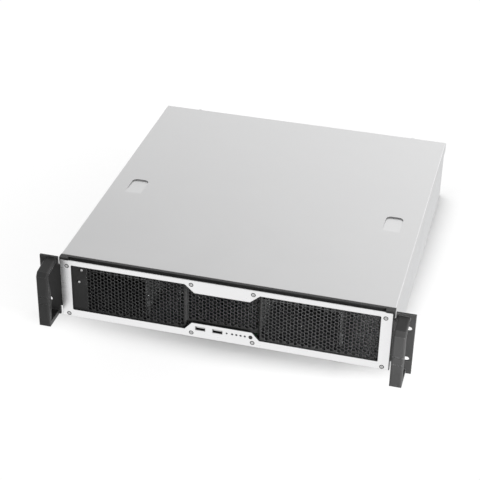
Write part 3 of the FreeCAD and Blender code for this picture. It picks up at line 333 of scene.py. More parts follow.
def make_spangle_group():
    """Flat crystal patches of a zinc coat."""
    tree, given, out = new_group("zinc_spangle", {"Scale": FLOAT}, {"Value": FLOAT})
    place = object_place(tree)
    warp = add_node(tree, "ShaderNodeTexNoise", {"Vector": place, "Scale": 90.0, "Detail": 2.0})
    shifted = vector_math(tree, "SCALE", {0: warp.outputs["Color"], "Scale": 0.006})
    moved = vector_math(tree, "ADD", {0: place, 1: shifted})
    cells = add_node(tree, "ShaderNodeTexVoronoi", {"Vector": moved, "Scale": given["Scale"]})
    shade = result(tree, "ShaderNodeSeparateColor", {"Color": cells.outputs["Color"]})
    tree.links.new(shade, out["Value"])
    return tree


edge_group = make_edge_group()
grain_group = make_grain_group()
handling_group = make_handling_group()
spangle_group = make_spangle_group()


def round_edges(tree, radius, gain):
    """The rounded normal, and the mask along the edges."""
    given = use_group(tree, edge_group, {"Radius": radius, "Gain": gain})
    return given["Normal"], given["Edge"]


def grain(tree, scale, stretch=(1.0, 1.0, 1.0), detail=3.0):
    """Fine noise, finer with a greater scale and drawn out along an axis of small stretch."""
    return use_group(tree, grain_group, {
        "Stretch": stretch, "Scale": scale, "Detail": detail})["Value"]


def handling(tree, scale, sharpness):
    """A mask of broad patches, with harder edges at a greater sharpness."""
    return use_group(tree, handling_group, {"Scale": scale, "Sharpness": sharpness})["Mask"]


def spangle(tree, scale):
    """A value from 0 to 1 for each crystal of a zinc coat."""
    return use_group(tree, spangle_group, {"Scale": scale})["Value"]


def by_mask(tree, mask, low, high):
    """A value from low to high by a mask, which reaches from 0 to 1."""
    return remap(tree, mask, (0.0, 1.0), low, high)


def by_grain(tree, noise, low, high):
    """A value from low to high by a grain, which seldom leaves the middle of 0 to 1."""
    return remap(tree, noise, NOISE_BAND, low, high)


def start_finish(name, metallic=0.0):
    """A material with its Principled shader at hand."""
    material = bpy.data.materials.new(name)
    material.use_nodes = True
    tree = material.node_tree
    shader = tree.nodes["Principled BSDF"]
    shader.inputs["Metallic"].default_value = metallic
    return material, tree, shader


def set_surface(tree, shader, colour, roughness):
    """Base colour and roughness, each a socket or a plain value."""
    feed(tree, shader.inputs["Base Color"], colour)
    feed(tree, shader.inputs["Roughness"], roughness)


def set_bump(tree, shader, height, distance, strength=0.3, below=None):
    """A bump from a height in 0 to 1, over rounded edges where they are given."""
    bump = add_node(tree, "ShaderNodeBump", {
        "Height": height, "Distance": distance, "Strength": strength})
    if below is not None:
        tree.links.new(below, bump.inputs["Normal"])
    tree.links.new(bump.outputs["Normal"], shader.inputs["Normal"])


# The finishes

def make_cover_steel():
    """Smooth satin sheet with faint rolling lines from front to back and wiping marks, and painted
    shade along its edges.
    """
    material, tree, shader = start_finish("cover_steel", metallic=1.0)
    rounded, edge = round_edges(tree, radius=0.3 * MM, gain=4.0)
    rolled = grain(tree, scale=1500.0, stretch=(1.0, 0.03, 1.0))
    skin = grain(tree, scale=5200.0)
    wiped = handling(tree, scale=6.0, sharpness=0.3)
    body = blend_colour(tree, wiped, COVER_DULL, COVER_CLEAN)
    lined = blend_colour(tree, rolled, body, COVER_LINE, share=0.25)
    # Painted shade: the rounded edges are painted darker than the sheet.
    edge_shaded = blend_colour(tree, edge, lined, COVER_EDGE_SHADE)
    rough = plus(tree, by_mask(tree, wiped, 0.33, 0.39), by_grain(tree, rolled, -0.03, 0.04))
    set_surface(tree, shader, edge_shaded, rough)
    height = plus(tree, rolled, times(tree, skin, 0.6))
    set_bump(tree, shader, height, distance=0.02 * MM, strength=0.35, below=rounded)
    return material


def make_case_steel():
    """Galvanised sheet of the pan, walls and brackets, with a painted highlight along its edges.
    """
    material, tree, shader = start_finish("case_steel", metallic=1.0)
    rounded, edge = round_edges(tree, radius=0.4 * MM, gain=5.0)
    flakes = spangle(tree, scale=230.0)
    skin = grain(tree, scale=2600.0)
    marks = handling(tree, scale=11.0, sharpness=0.4)
    zinc = blend_colour(tree, flakes, ZINC_DARK, ZINC_LIGHT)
    aged = blend_colour(tree, marks, zinc, ZINC_AGED, share=0.3)
    # Painted highlight: the rounded edges are painted brighter than the zinc.
    bright = blend_colour(tree, edge, aged, ZINC_EDGE_HIGHLIGHT)
    rough = plus(tree, by_mask(tree, flakes, 0.38, 0.45), by_mask(tree, marks, -0.02, 0.06))
    set_surface(tree, shader, bright, rough)
    set_bump(tree, shader, skin, distance=0.03 * MM, below=rounded)
    return material


def make_cage_steel():
    """Dull zinc of the drive cages, darker and greyer than the pan, with a painted highlight along
    its edges.
    """
    material, tree, shader = start_finish("cage_steel", metallic=0.6)
    rounded, edge = round_edges(tree, radius=0.3 * MM, gain=4.0)
    flakes = spangle(tree, scale=190.0)
    skin = grain(tree, scale=2600.0)
    zinc = blend_colour(tree, flakes, CAGE_DARK, CAGE_LIGHT)
    # Painted highlight: the rounded edges are painted lighter, in patches.
    wear_and_edge_highlight = blend_colour(tree, edge, zinc, CAGE_EDGE_HIGHLIGHT, share=skin)
    set_surface(tree, shader, wear_and_edge_highlight, by_mask(tree, flakes, 0.46, 0.56))
    set_bump(tree, shader, skin, distance=0.03 * MM, below=rounded)
    return material


def make_bezel_silver():
    """Anodised front plate, blasted fine, with bright cut edges that are painted brighter still as
    a highlight.
    """
    material, tree, shader = start_finish("bezel_silver", metallic=1.0)
    rounded, edge = round_edges(tree, radius=0.5 * MM, gain=5.0)
    blast = grain(tree, scale=4200.0, detail=4.0)
    drawn = grain(tree, scale=1800.0, stretch=(0.03, 1.0, 1.0))
    marks = handling(tree, scale=18.0, sharpness=0.35)
    body = blend_colour(tree, blast, SILVER_DARK, SILVER_LIGHT)
    wear_and_edge_highlight = blend_colour(tree, marks, body, SILVER_WORN, share=0.25)
    # Painted highlight: the cut edges are painted brighter than the plate.
    bright = blend_colour(tree, edge, wear_and_edge_highlight, SILVER_EDGE_HIGHLIGHT)
    rough = plus(tree, by_grain(tree, drawn, 0.25, 0.30), times(tree, marks, 0.04))
    set_surface(tree, shader, bright, rough)
    height = plus(tree, blast, times(tree, drawn, 0.5))
    set_bump(tree, shader, height, distance=0.03 * MM, below=rounded)
    return material


def make_powder_coat(name, dark, light, edge_highlight, rough, scale, gloss=0.5):
    """Black coat with an orange-peel skin, with a painted highlight along its edges."""
    material, tree, shader = start_finish(name)
    rounded, edge = round_edges(tree, radius=0.6 * MM, gain=5.0)
    peel = grain(tree, scale=scale, detail=2.0)
    marks = handling(tree, scale=24.0, sharpness=0.4)
    body = blend_colour(tree, marks, grey(dark), grey(light))
    # Painted highlight: the rounded edges are painted lighter, in patches.
    wear_and_edge_highlight = blend_colour(tree, edge, body, grey(edge_highlight), share=peel)
    uneven = by_grain(tree, peel, rough - 0.04, rough + 0.04)
    set_surface(tree, shader, wear_and_edge_highlight, plus(tree, uneven, times(tree, marks, 0.05)))
    shader.inputs["Specular IOR Level"].default_value = gloss
    set_bump(tree, shader, peel, distance=0.08 * MM, strength=0.35, below=rounded)
    return material


def make_screw_metal(name, bright, rough):
    """Plated steel, with a painted highlight along its edges."""
    material, tree, shader = start_finish(name, metallic=1.0)
    rounded, edge = round_edges(tree, radius=0.2 * MM, gain=3.0)
    turned = grain(tree, scale=3000.0)
    body = blend_colour(tree, turned, grey(bright * 0.86), grey(bright))
    # Painted highlight along the rounded edges.
    colour = blend_colour(tree, edge, body, SCREW_EDGE_HIGHLIGHT)
    set_surface(tree, shader, colour, by_grain(tree, turned, rough - 0.05, rough + 0.06))
    set_bump(tree, shader, turned, distance=0.02 * MM, below=rounded)
    return material


def make_ringed_screw():
    """Flush screw with a painted shade ring where its edge lies in the shade of its sink, dark
    round a bright middle.
    """
    material, tree, shader = start_finish("ringed_screw", metallic=1.0)
    turned = grain(tree, scale=3000.0)
    centre = add_node(tree, "ShaderNodeAttribute", attribute_name="centre").outputs["Vector"]
    away = vector_math(tree, "SUBTRACT", {0: object_place(tree), 1: centre})
    across = vector_math(tree, "MULTIPLY", {0: away, 1: (1.0, 0.0, 1.0)})
    radius = vector_math(tree, "LENGTH", {0: across}, "Value")
    # Painted shade: a dark ring round the head, where the sink would shade it.
    ring = remap(tree, radius, (RING_INSIDE - RING_BLUR, RING_INSIDE + RING_BLUR), 0.0, 1.0)
    body = blend_colour(tree, turned, RINGED_DARK, RINGED_LIGHT)
    colour = blend_colour(tree, ring, body, RING_PAINTED_SHADE)
    set_surface(tree, shader, colour, by_grain(tree, turned, 0.24, 0.34))
    set_bump(tree, shader, turned, distance=0.02 * MM)
    return material


def make_board_laminate():
    """Green solder mask over copper tracks, with a woven hint in the laminate."""
    material, tree, shader = start_finish("board_laminate")
    tracks = add_node(tree, "ShaderNodeTexBrick", {
        "Vector": object_place(tree), "Color1": BLACK, "Color2": grey(0.2),
        "Mortar": WHITE, "Scale": 120.0, "Mortar Size": 0.06, "Brick Width": 0.9,
        "Row Height": 0.22})
    weave = grain(tree, scale=2400.0)
    mask = blend_colour(tree, weave, BOARD_DARK, BOARD_LIGHT)
    copper = blend_colour(tree, tracks.outputs["Color"], mask, BOARD_TRACK)
    set_surface(tree, shader, copper, by_grain(tree, weave, 0.26, 0.36))
    set_bump(tree, shader, tracks.outputs["Fac"], distance=0.04 * MM, strength=0.5)
    return material


def make_plastic(name, dark, light, rough, scale):
    """Moulded black plastic with a fine spark-eroded texture and a painted highlight along its
    edges.
    """
    material, tree, shader = start_finish(name)
    rounded, edge = round_edges(tree, radius=0.3 * MM, gain=4.0)
    spark = grain(tree, scale=scale, detail=2.0)
    marks = handling(tree, scale=30.0, sharpness=0.4)
    body = blend_colour(tree, marks, grey(dark), grey(light), share=0.6)
    # Painted highlight: the rounded edges are painted lighter.
    wear_and_edge_highlight = blend_colour(tree, edge, body, PLASTIC_EDGE_HIGHLIGHT, share=0.3)
    set_surface(tree, shader, wear_and_edge_highlight, by_grain(tree, spark, rough - 0.05, rough + 0.05))
    set_bump(tree, shader, spark, distance=0.05 * MM, below=rounded)
    return material


def make_light_lens():
    """Smoked light pipe: dark, glossy and slightly hazy."""
    material, tree, shader = start_finish("light_lens")
    haze = grain(tree, scale=700.0)
    smoke = blend_colour(tree, haze, SMOKE_DARK, SMOKE_LIGHT)
    set_surface(tree, shader, smoke, by_grain(tree, haze, 0.12, 0.22))
    shader.inputs["Coat Weight"].default_value = 0.6
    return material


def make_standoff_brass():
    """Turned brass with marks across the posts."""
    material, tree, shader = start_finish("standoff_brass", metallic=1.0)
    turned = grain(tree, scale=900.0, stretch=(1.0, 1.0, 8.0))
    body = blend_colour(tree, turned, BRASS_DARK, BRASS_LIGHT)
    set_surface(tree, shader, body, by_grain(tree, turned, 0.22, 0.36))
    set_bump(tree, shader, turned, distance=0.02 * MM)
    return material


finishes = {
    "cover_steel": make_cover_steel(),
    "case_steel": make_case_steel(),
    "cage_steel": make_cage_steel(),
    "bezel_silver": make_bezel_silver(),
    "front_black": make_powder_coat(
        "front_black", dark=0.010, light=0.017, edge_highlight=0.08, rough=0.42, scale=2600.0),
    "mesh_black": make_powder_coat(
        "mesh_black", dark=0.025, light=0.042, edge_highlight=0.14, rough=0.36, scale=3000.0, gloss=0.03),
    "handle_black": make_powder_coat(
        "handle_black", dark=0.022, light=0.031, edge_highlight=0.30, rough=0.38, scale=1900.0,
        gloss=0.20),
    "screw_steel": make_screw_metal("screw_steel", bright=0.72, rough=0.26),
    "ringed_screw": make_ringed_screw(),
    "thumb_steel": make_screw_metal("thumb_steel", bright=0.64, rough=0.30),
    "socket_metal": make_screw_metal("socket_metal", bright=0.60, rough=0.30),
    "board_laminate": make_board_laminate(),
    "control_black": make_plastic(
        "control_black", dark=0.012, light=0.02, rough=0.38, scale=2600.0),
    "fan_plastic": make_plastic("fan_plastic", dark=0.016, light=0.028, rough=0.44, scale=2200.0),
    "light_lens": make_light_lens(),
    "standoff_brass": make_standoff_brass(),
}


def dress_solids():
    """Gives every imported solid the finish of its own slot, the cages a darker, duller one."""
    looks = {"drive_cage_left": "cage_steel", "drive_cage_right": "cage_steel"}
    for part in frame["record"]["subparts"]:
        solid = cad_nodes[part["node"]]
        solid.data.materials.clear()
        solid.data.materials.append(finishes[looks.get(part["node"], part["material_slot"])])


# Pieces that repeat

def keep_result(tree, name, settings, points=()):
    """Runs a geometry tree on bare points and returns the plain mesh that it makes."""
    source = bpy.data.meshes.new(name + "_points")
    source.from_pydata([place for place, _ in points], [], [])
    if points:
        for label, vectors in zip(("centre", "facing"), zip(*points)):
            stored = source.attributes.new(label, "FLOAT_VECTOR", "POINT")
            stored.data.foreach_set("vector", [c for vector in vectors for c in vector])
    carrier = bpy.data.objects.new(name + "_source", source)
    bpy.context.scene.collection.objects.link(carrier)
    modifier = carrier.modifiers.new("shape", "NODES")
    modifier.node_group = tree
    sockets = {s.name: s.identifier for s in tree.interface.items_tree if s.in_out == "INPUT"}
    for label, value in settings.items():
        modifier[sockets[label]] = value
    graph = bpy.context.evaluated_depsgraph_get()
    made = bpy.data.meshes.new_from_object(carrier.evaluated_get(graph))
    carrier.modifiers.remove(modifier)
    bpy.data.objects.remove(carrier)
    made.name = name
    return made


def join_shapes(tree, *shapes):
    """Several shapes as one."""
    joined = tree.nodes.new("GeometryNodeJoinGeometry")
    for shape in shapes:
        tree.links.new(shape, joined.inputs[0])
    return joined.outputs[0]


def copy_to_points(tree, points, shape, **options):
    """A copy of a shape on each point; options are the node's own inputs."""
    return result(tree, "GeometryNodeInstanceOnPoints", {
        "Points": points, "Instance": shape, **options})


def delete_faces(tree, shape, chosen):
    """A shape without the chosen faces."""
    return result(tree, "GeometryNodeDeleteGeometry", {
        "Geometry": shape, "Selection": chosen}, domain="FACE")


def weld(tree, shape, distance):
    """A shape with the corners that are closer than a distance made one."""
    return result(tree, "GeometryNodeMergeByDistance", {"Geometry": shape, "Distance": distance})


def hold_within(tree, value, half):
    """A value held between minus and plus a half width."""
    return result(tree, "ShaderNodeClamp", {
        "Value": value, "Min": times(tree, half, -1.0), "Max": half})


def end_shape(tree, given, out, shape):
    """Gives the shape its finish and hands it out of the tree."""
    painted = result(tree, "GeometryNodeSetMaterial", {
        "Geometry": shape, "Material": given["Finish"]})
    tree.links.new(painted, out["Geometry"])


def make_punched_tile(tree, given, tile, down):
    """A hexagonal tile with a hole, whose edge is rolled a little to the back."""
    rim = divide(tree, plus(tree, given["Hole"], times(tree, given["Burr"], 2.0)), given["Pitch"])
    tight = divide(tree, given["Hole"], times(tree, rim, given["Pitch"]))
    inner = add_node(tree, "GeometryNodeExtrudeMesh", {"Mesh": tile, "Offset Scale": 0.0},
                     mode="FACES").outputs
    ring = result(tree, "GeometryNodeScaleElements", {
        "Geometry": inner["Mesh"], "Selection": inner["Top"], "Scale": rim})
    rolled = add_node(tree, "GeometryNodeExtrudeMesh", {
        "Mesh": ring, "Selection": inner["Top"], "Offset": down,
        "Offset Scale": given["Burr"]}, mode="FACES").outputs
    narrowed = result(tree, "GeometryNodeScaleElements", {
        "Geometry": rolled["Mesh"], "Selection": rolled["Top"], "Scale": tight})
    return delete_faces(tree, narrowed, rolled["Top"])


def make_mesh_tree():
    """Perforated sheet: hexagonal tiles side by side, pulled in to a straight border."""
    tree, given, out = new_group(
        "perforated_sheet",
        {"Width": FLOAT, "Height": FLOAT, "Pitch": FLOAT, "Hole": FLOAT, "Burr": FLOAT,
         "Sheet": FLOAT, "Blank Left": FLOAT, "Blank Right": FLOAT, "Blank Edge": FLOAT,
         "Flush Side": FLOAT, "Place": VECTOR, "Finish": MATERIAL},
        {"Geometry": SHAPE}, "GeometryNodeTree")
    pitch = given["Pitch"]
    step = times(tree, pitch, math.sqrt(3) / 2)
    radius = divide(tree, pitch, math.sqrt(3))
    half_width = times(tree, given["Width"], 0.5)
    half_height = times(tree, given["Height"], 0.5)

    # The middles of the tiles, with every other column half a pitch higher
    columns = plus(tree, calculate(tree, "CEIL", divide(tree, given["Width"], step)), MESH_SPARE)
    rows = plus(tree, calculate(tree, "CEIL", divide(tree, given["Height"], pitch)), MESH_SPARE)
    gaps_x = minus(tree, columns, 1.0)
    gaps_y = minus(tree, rows, 1.0)
    size_x = times(tree, gaps_x, step)
    grid = result(tree, "GeometryNodeMeshGrid", {
        "Size X": size_x, "Size Y": times(tree, gaps_y, pitch), "Vertices X": columns,
        "Vertices Y": rows})
    place = split_axes(tree, result(tree, "GeometryNodeInputPosition"))
    steps = plus(tree, divide(tree, place["X"], step), times(tree, gaps_x, 0.5))
    odd = calculate(tree, "MODULO", calculate(tree, "ROUND", steps), 2.0)
    shift = times(tree, minus(tree, odd, 0.5), times(tree, pitch, 0.5))

    # The whole grid slides until its last holes are flush with the margin of one side
    low_x = plus(tree, minus(tree, radius, half_width), given["Blank Left"])
    high_x = minus(tree, minus(tree, half_width, radius), given["Blank Right"])
    reach_x = times(tree, size_x, 0.5)
    spare_right = calculate(tree, "MODULO", plus(tree, reach_x, high_x), step)
    spare_left = calculate(tree, "MODULO", minus(tree, reach_x, low_x), step)
    to_right = calculate(tree, "MAXIMUM", given["Flush Side"], 0.0)
    to_left = calculate(tree, "MAXIMUM", times(tree, given["Flush Side"], -1.0), 0.0)
    slide = minus(tree, times(tree, to_right, spare_right), times(tree, to_left, spare_left))
    centres = result(tree, "GeometryNodeSetPosition", {
        "Geometry": grid, "Offset": join_axes(tree, X=slide, Y=shift)})

    # Tiles with a hole inside the margins, and plain ones outside
    tile = result(tree, "GeometryNodeMeshCircle", {"Vertices": 6, "Radius": radius},
                  fill_type="NGON")
    down = join_axes(tree, Z=-1.0)
    punched = make_punched_tile(tree, given, tile, down)
    reach_y = minus(tree, minus(tree, half_height, given["Blank Edge"]), times(tree, pitch, 0.5))
    right = calculate(tree, "GREATER_THAN", place["X"], minus(tree, low_x, MESH_SLACK))
    left = calculate(tree, "LESS_THAN", place["X"], plus(tree, high_x, MESH_SLACK))
    level = calculate(tree, "LESS_THAN", calculate(tree, "ABSOLUTE", place["Y"]), reach_y)
    is_open = times(tree, times(tree, right, left), level)
    tiles = join_shapes(
        tree, copy_to_points(tree, centres, tile, Selection=minus(tree, 1.0, is_open)),
        copy_to_points(tree, centres, punched, Selection=is_open))
    joined = weld(tree, result(tree, "GeometryNodeRealizeInstances", {"Geometry": tiles}),
                  TILE_WELD)

    # The outermost tiles are pulled in to a straight border
    bounded = join_axes(tree, X=hold_within(tree, place["X"], half_width),
                        Y=hold_within(tree, place["Y"], half_height), Z=place["Z"])
    straight = result(tree, "GeometryNodeSetPosition", {
        "Geometry": joined, "Position": bounded})
    area = result(tree, "GeometryNodeInputMeshFaceArea")
    face = delete_faces(tree, straight, calculate(tree, "LESS_THAN", area, EMPTY_FACE))

    # The sheet's back and edges, then the whole stood upright
    turned = result(tree, "GeometryNodeFlipFaces", {"Mesh": face})
    back = result(tree, "GeometryNodeExtrudeMesh", {
        "Mesh": turned, "Offset": down, "Offset Scale": given["Sheet"], "Individual": False},
        mode="FACES")
    closed = weld(tree, join_shapes(tree, face, back), SHEET_WELD)
    upright = result(tree, "GeometryNodeTransform", {
        "Geometry": closed, "Translation": given["Place"],
        "Rotation": (math.pi / 2, 0.0, 0.0)})
    end_shape(tree, given, out, upright)
    return tree


def pick_by_index(tree, values):
    """A field that gives each point its own of several values."""
    pick = add_node(tree, "GeometryNodeIndexSwitch", data_type="FLOAT")
    while len(pick.index_switch_items) < len(values):
        pick.index_switch_items.new()
    feed(tree, pick.inputs["Index"], result(tree, "GeometryNodeInputIndex"))
    for number, value in enumerate(values, 1):
        feed(tree, pick.inputs[number], value)
    return pick.outputs[0]


def make_screw_body(tree, given):
    """A turned head and shank that hang from the middle of the head's top."""
    head = given["Head Radius"]
    tall = given["Head Height"]
    shank = given["Shank Radius"]
    top = times(tree, head, given["Top Share"])
    foot = times(tree, head, given["Foot Share"])
    shoulder = plus(tree, times(tree, top, SHOULDER_IN), times(tree, head, 1.0 - SHOULDER_IN))
    depths = [0.0, times(tree, tall, SHOULDER_DEEP), times(tree, tall, RIM_DEEP), tall,
              plus(tree, tall, FOOT_STEP), given["Length"]]
    radii = [top, shoulder, head, foot, shank, shank]
    under = times(tree, pick_by_index(tree, depths), -1.0)
    line = result(tree, "GeometryNodeMeshLine", {"Count": len(depths)})
    spaced = result(tree, "GeometryNodeSetPosition", {
        "Geometry": line, "Position": join_axes(tree, Z=under)})
    spine = result(tree, "GeometryNodeMeshToCurve", {"Mesh": spaced})
    section = result(tree, "GeometryNodeCurvePrimitiveCircle", {
        "Resolution": given["Sides"], "Radius": 1.0})
    return result(tree, "GeometryNodeCurveToMesh", {
        "Curve": spine, "Profile Curve": section, "Scale": pick_by_index(tree, radii),
        "Fill Caps": True})


def make_screw_tree():
    """Screws on points, each with a cross recess and turned at random."""
    tree, given, out = new_group(
        "cross_screws",
        {"Geometry": SHAPE, "Head Radius": FLOAT, "Head Height": FLOAT, "Top Share": FLOAT,
         "Foot Share": FLOAT, "Shank Radius": FLOAT, "Length": FLOAT, "Recess Width": FLOAT,
         "Recess Depth": FLOAT, "Sides": COUNT, "Seed": COUNT, "Finish": MATERIAL},
        {"Geometry": SHAPE}, "GeometryNodeTree")
    wide = given["Recess Width"]
    thin = times(tree, wide, RECESS_BAR)
    deep = times(tree, given["Recess Depth"], 2.0)
    bars = [result(tree, "GeometryNodeMeshCube", {"Size": join_axes(tree, X=x, Y=y, Z=deep)})
            for x, y in ((wide, thin), (thin, wide))]
    cut = result(tree, "GeometryNodeMeshBoolean", {
        0: make_screw_body(tree, given), 1: join_shapes(tree, *bars),
        "Self Intersection": True}, operation="DIFFERENCE", solver="EXACT")
    facing = result(tree, "GeometryNodeInputNamedAttribute", {"Name": "facing"},
                    data_type="FLOAT_VECTOR")
    aimed = result(tree, "FunctionNodeAlignRotationToVector", {"Vector": facing}, axis="Z")
    chance = add_node(tree, "FunctionNodeRandomValue", {"Seed": given["Seed"]},
                      data_type="FLOAT")
    angle = next(s for s in chance.outputs if s.enabled)
    spin = result(tree, "FunctionNodeAxisAngleToRotation", {
        "Axis": (0.0, 0.0, 1.0), "Angle": times(tree, angle, math.pi)})
    stance = result(tree, "FunctionNodeRotateRotation", {
        "Rotation": aimed, "Rotate By": spin}, rotation_space="LOCAL")
    copies = copy_to_points(tree, given["Geometry"], cut, Rotation=stance)
    end_shape(tree, given, out, result(tree, "GeometryNodeRealizeInstances", {
        "Geometry": copies}))
    return tree


def place_piece(mesh, name, body, slot, *replaced):
    """Links a finished mesh as a piece that rides on a body and stands for solids."""
    piece = bpy.data.objects.new(name, mesh)
    bpy.context.scene.collection.objects.link(piece)
    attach(piece, body)
    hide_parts(*replaced)


def add_box(shape, low, high):
    """A closed box between two corners."""
    middle = (Vector(low) + Vector(high)) / 2
    size = Vector(high) - Vector(low)
    placed = Matrix.Translation(middle) @ Matrix.Diagonal((*size, 1.0))
    bmesh.ops.create_cube(shape, size=1.0, matrix=placed)


def mesh_from(shape, name, finish):
    """A plain mesh with one finish, from a shape that isn't used after."""
    mesh = bpy.data.meshes.new(name)
    shape.to_mesh(mesh)
    shape.free()
    mesh.materials.append(finish)
    return mesh


def make_front_mesh():
    """The mesh at its real density, in three fields joined by two plain steps."""
    tree = make_mesh_tree()
    low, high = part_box("mesh_grille")
    half = MESH_MIDDLE / 2
    front = low.y
    deep = high.y - MESH_SHEET
    fields = [
        ("left", low.x, -half, low.z, front, MESH_BLANK, MESH_SHEET, 1.0),
        ("right", half, high.x, low.z, front, MESH_SHEET, MESH_EDGE, -1.0),
        ("middle", -half, half, MESH_MIDDLE_LOW, deep, MESH_SHEET, MESH_SHEET, 1.0)]
    shape = bmesh.new()
    for label, left, right, bottom, level, blank_left, blank_right, flush in fields:
        part = keep_result(tree, "mesh_" + label, {
            "Width": right - left, "Height": high.z - bottom, "Sheet": MESH_SHEET,
            "Pitch": MESH_PITCH, "Hole": MESH_HOLE, "Burr": MESH_BURR,
            "Blank Left": blank_left, "Blank Right": blank_right, "Blank Edge": MESH_EDGE,
            "Flush Side": flush,
            "Place": ((left + right) / 2, level, (bottom + high.z) / 2),
            "Finish": finishes["mesh_black"]})
        shape.from_mesh(part)
        bpy.data.meshes.remove(part)
    for side in (-1, 1):
        outer = side * half
        inner = side * (half - MESH_SHEET)
        add_box(shape, (min(outer, inner), front + MESH_SHEET, low.z),
                (max(outer, inner), deep + MESH_SHEET, high.z))
    mesh = mesh_from(shape, "front_mesh", finishes["mesh_black"])
    place_piece(mesh, "front_mesh", "case", "mesh_black", "mesh_grille")


def solid_boxes(node):
    """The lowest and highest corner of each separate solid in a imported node."""
    shape = bmesh.new()
    shape.from_mesh(cad_nodes[node].data)
    bmesh.ops.remove_doubles(shape, verts=shape.verts, dist=SOLID_WELD)
    left = set(shape.verts)
    boxes = []
    while left:
        reached = {left.pop()}
        edge = list(reached)
        while edge:
            found = {e.other_vert(v) for v in edge for e in v.link_edges} - reached
            reached |= found
            edge = list(found)
        left -= reached
        low = Vector([min(v.co[i] for v in reached) for i in range(3)])
        high = Vector([max(v.co[i] for v in reached) for i in range(3)])
        boxes.append((low, high))
    shape.free()
    return sorted(boxes, key=lambda box: tuple(box[0]))


def make_screws(tree, node, facing, flat=False, slot="screw_steel", look=None, tall=SCREW_TALL,
                shank=SCREW_SHANK):
    """Cross-head screws in place of a node's plain ones; facing gives each head's way out."""
    points = []
    for low, high in solid_boxes(node):
        middle = (low + high) / 2
        half = (high - low) / 2
        way = Vector(facing(middle))
        reach = abs(way.dot(half))
        head = min(size for size, part in zip(half, way) if not part)
        points.append((middle + way * reach, way))
    # A node's screws are all alike, so the last one's head and reach serve for every one
    mesh = keep_result(tree, node + "_dressed", {
        "Head Radius": head, "Head Height": head - shank if flat else tall,
        "Top Share": 1.0 if flat else SCREW_TOP, "Foot Share": shank / head if flat else 1.0,
        "Shank Radius": shank, "Length": reach * 2, "Recess Width": head * RECESS_SHARE,
        "Recess Depth": RECESS_DEEP, "Sides": SCREW_SIDES, "Seed": SCREW_SEED,
        "Finish": finishes[look or slot]}, points)
    place_piece(mesh, node + "_dressed", "case", slot, node)


def make_all_screws():
    """The screws whose heads face the front, the top or the sides."""
    tree = make_screw_tree()
    make_screws(tree, "bezel_screws", lambda place: (0, -1, 0), flat=True, look="ringed_screw")
    make_screws(tree, "mesh_screws", lambda place: (0, -1, 0), tall=1.2 * MM, shank=1.0 * MM)
    make_screws(tree, "fan_screws", lambda place: (0, -1, 0))
    for node in ("cage_screws", "io_screws", "slot_cover_screws"):
        make_screws(tree, node, lambda place: (0, 0, 1))
    make_screws(tree, "handle_screws", lambda place: (math.copysign(1, place.x), 0, 0),
                slot="front_black", tall=1.5 * MM)


# The surroundings

def seen_in_metal(tree, path, bounces):
    """1 for a reflection up to a number of bounces from the camera, and 0 for later ones."""
    mirrored = calculate(tree, "MAXIMUM", path["Is Glossy Ray"], path["Is Transmission Ray"])
    return times(tree, mirrored, calculate(tree, "LESS_THAN", path["Ray Depth"], bounces + 0.5))


def floor_fading(tree):
    """How far the floor has faded to white, from 0 at the case to 1: far off as a white backdrop,
    and next to the case as painted light that lifts its shadow.
    """
    place = object_place(tree)
    axes = split_axes(tree, place)
    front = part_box("bezel_plate")[0].y
    wall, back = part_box("top_cover")[1].xy
    away = vector_math(tree, "LENGTH", {0: place}, "Value")
    far = remap(tree, away, FLOOR_FAR_BAND, 0.0, 1.0)
    # Painted light: these shares lift the floor's shadow next to the case towards white.
    near = remap(tree, axes["Y"], (front, front - FLOOR_CONTACT), 0.0, FLOOR_NEAR_SHARE)
    left = remap(tree, axes["X"], FLOOR_LEFT_BAND, 0.0, FLOOR_LEFT_SHARE)
    ahead = remap(tree, axes["Y"], (front + FLOOR_CONTACT, front), 0.0, FLOOR_RIGHT_SHARE)
    corner = times(tree, remap(tree, axes["X"], FLOOR_RIGHT_BAND, 0.0, 1.0), ahead)
    beside = remap(tree, axes["X"], (wall, wall + FLOOR_CONTACT), 0.0, FLOOR_SIDE_SHARE)
    behind = remap(tree, axes["Y"], (back, back + FLOOR_CONTACT), 0.0, FLOOR_SIDE_SHARE)
    clear = calculate(tree, "MAXIMUM", beside, behind)
    sides = plus(tree, left, calculate(tree, "MAXIMUM", corner, clear))
    return calculate(tree, "ADD", plus(tree, far, near), sides, clamp=True)


def make_stage():
    """White sweep under the case."""
    material, tree, shader = start_finish("white_sweep")
    paper = blend_colour(tree, grain(tree, scale=60.0), PAPER_DARK, PAPER_LIGHT)
    set_surface(tree, shader, paper, roughness=0.9)
    shader.inputs["Specular IOR Level"].default_value = 0.1
    path = add_node(tree, "ShaderNodeLightPath").outputs
    # Painted light: for the camera the floor is mixed towards a white glow, which also lifts its
    # shadow next to the case.
    seen_and_faded = times(tree, path["Is Camera Ray"], floor_fading(tree))
    glow = result(tree, "ShaderNodeEmission", {"Color": WHITE, "Strength": FLOOR_GLOW})
    seen = mix_shaders(tree, seen_and_faded, shader.outputs[0], glow)
    bright = result(tree, "ShaderNodeEmission", {"Color": WHITE, "Strength": FLOOR_MIRRORED})
    whole = mix_shaders(tree, seen_in_metal(tree, path, bounces=1), seen, bright)
    tree.links.new(whole, tree.nodes["Material Output"].inputs["Surface"])
    shape = bmesh.new()
    bmesh.ops.create_grid(shape, x_segments=1, y_segments=1, size=FLOOR_HALF)
    mesh = mesh_from(shape, "sweep", material)
    mesh.transform(Matrix.Translation((0, 0, -FLOOR_DROP)))
    floor = bpy.data.objects.new("sweep", mesh)
    bpy.context.scene.collection.objects.link(floor)


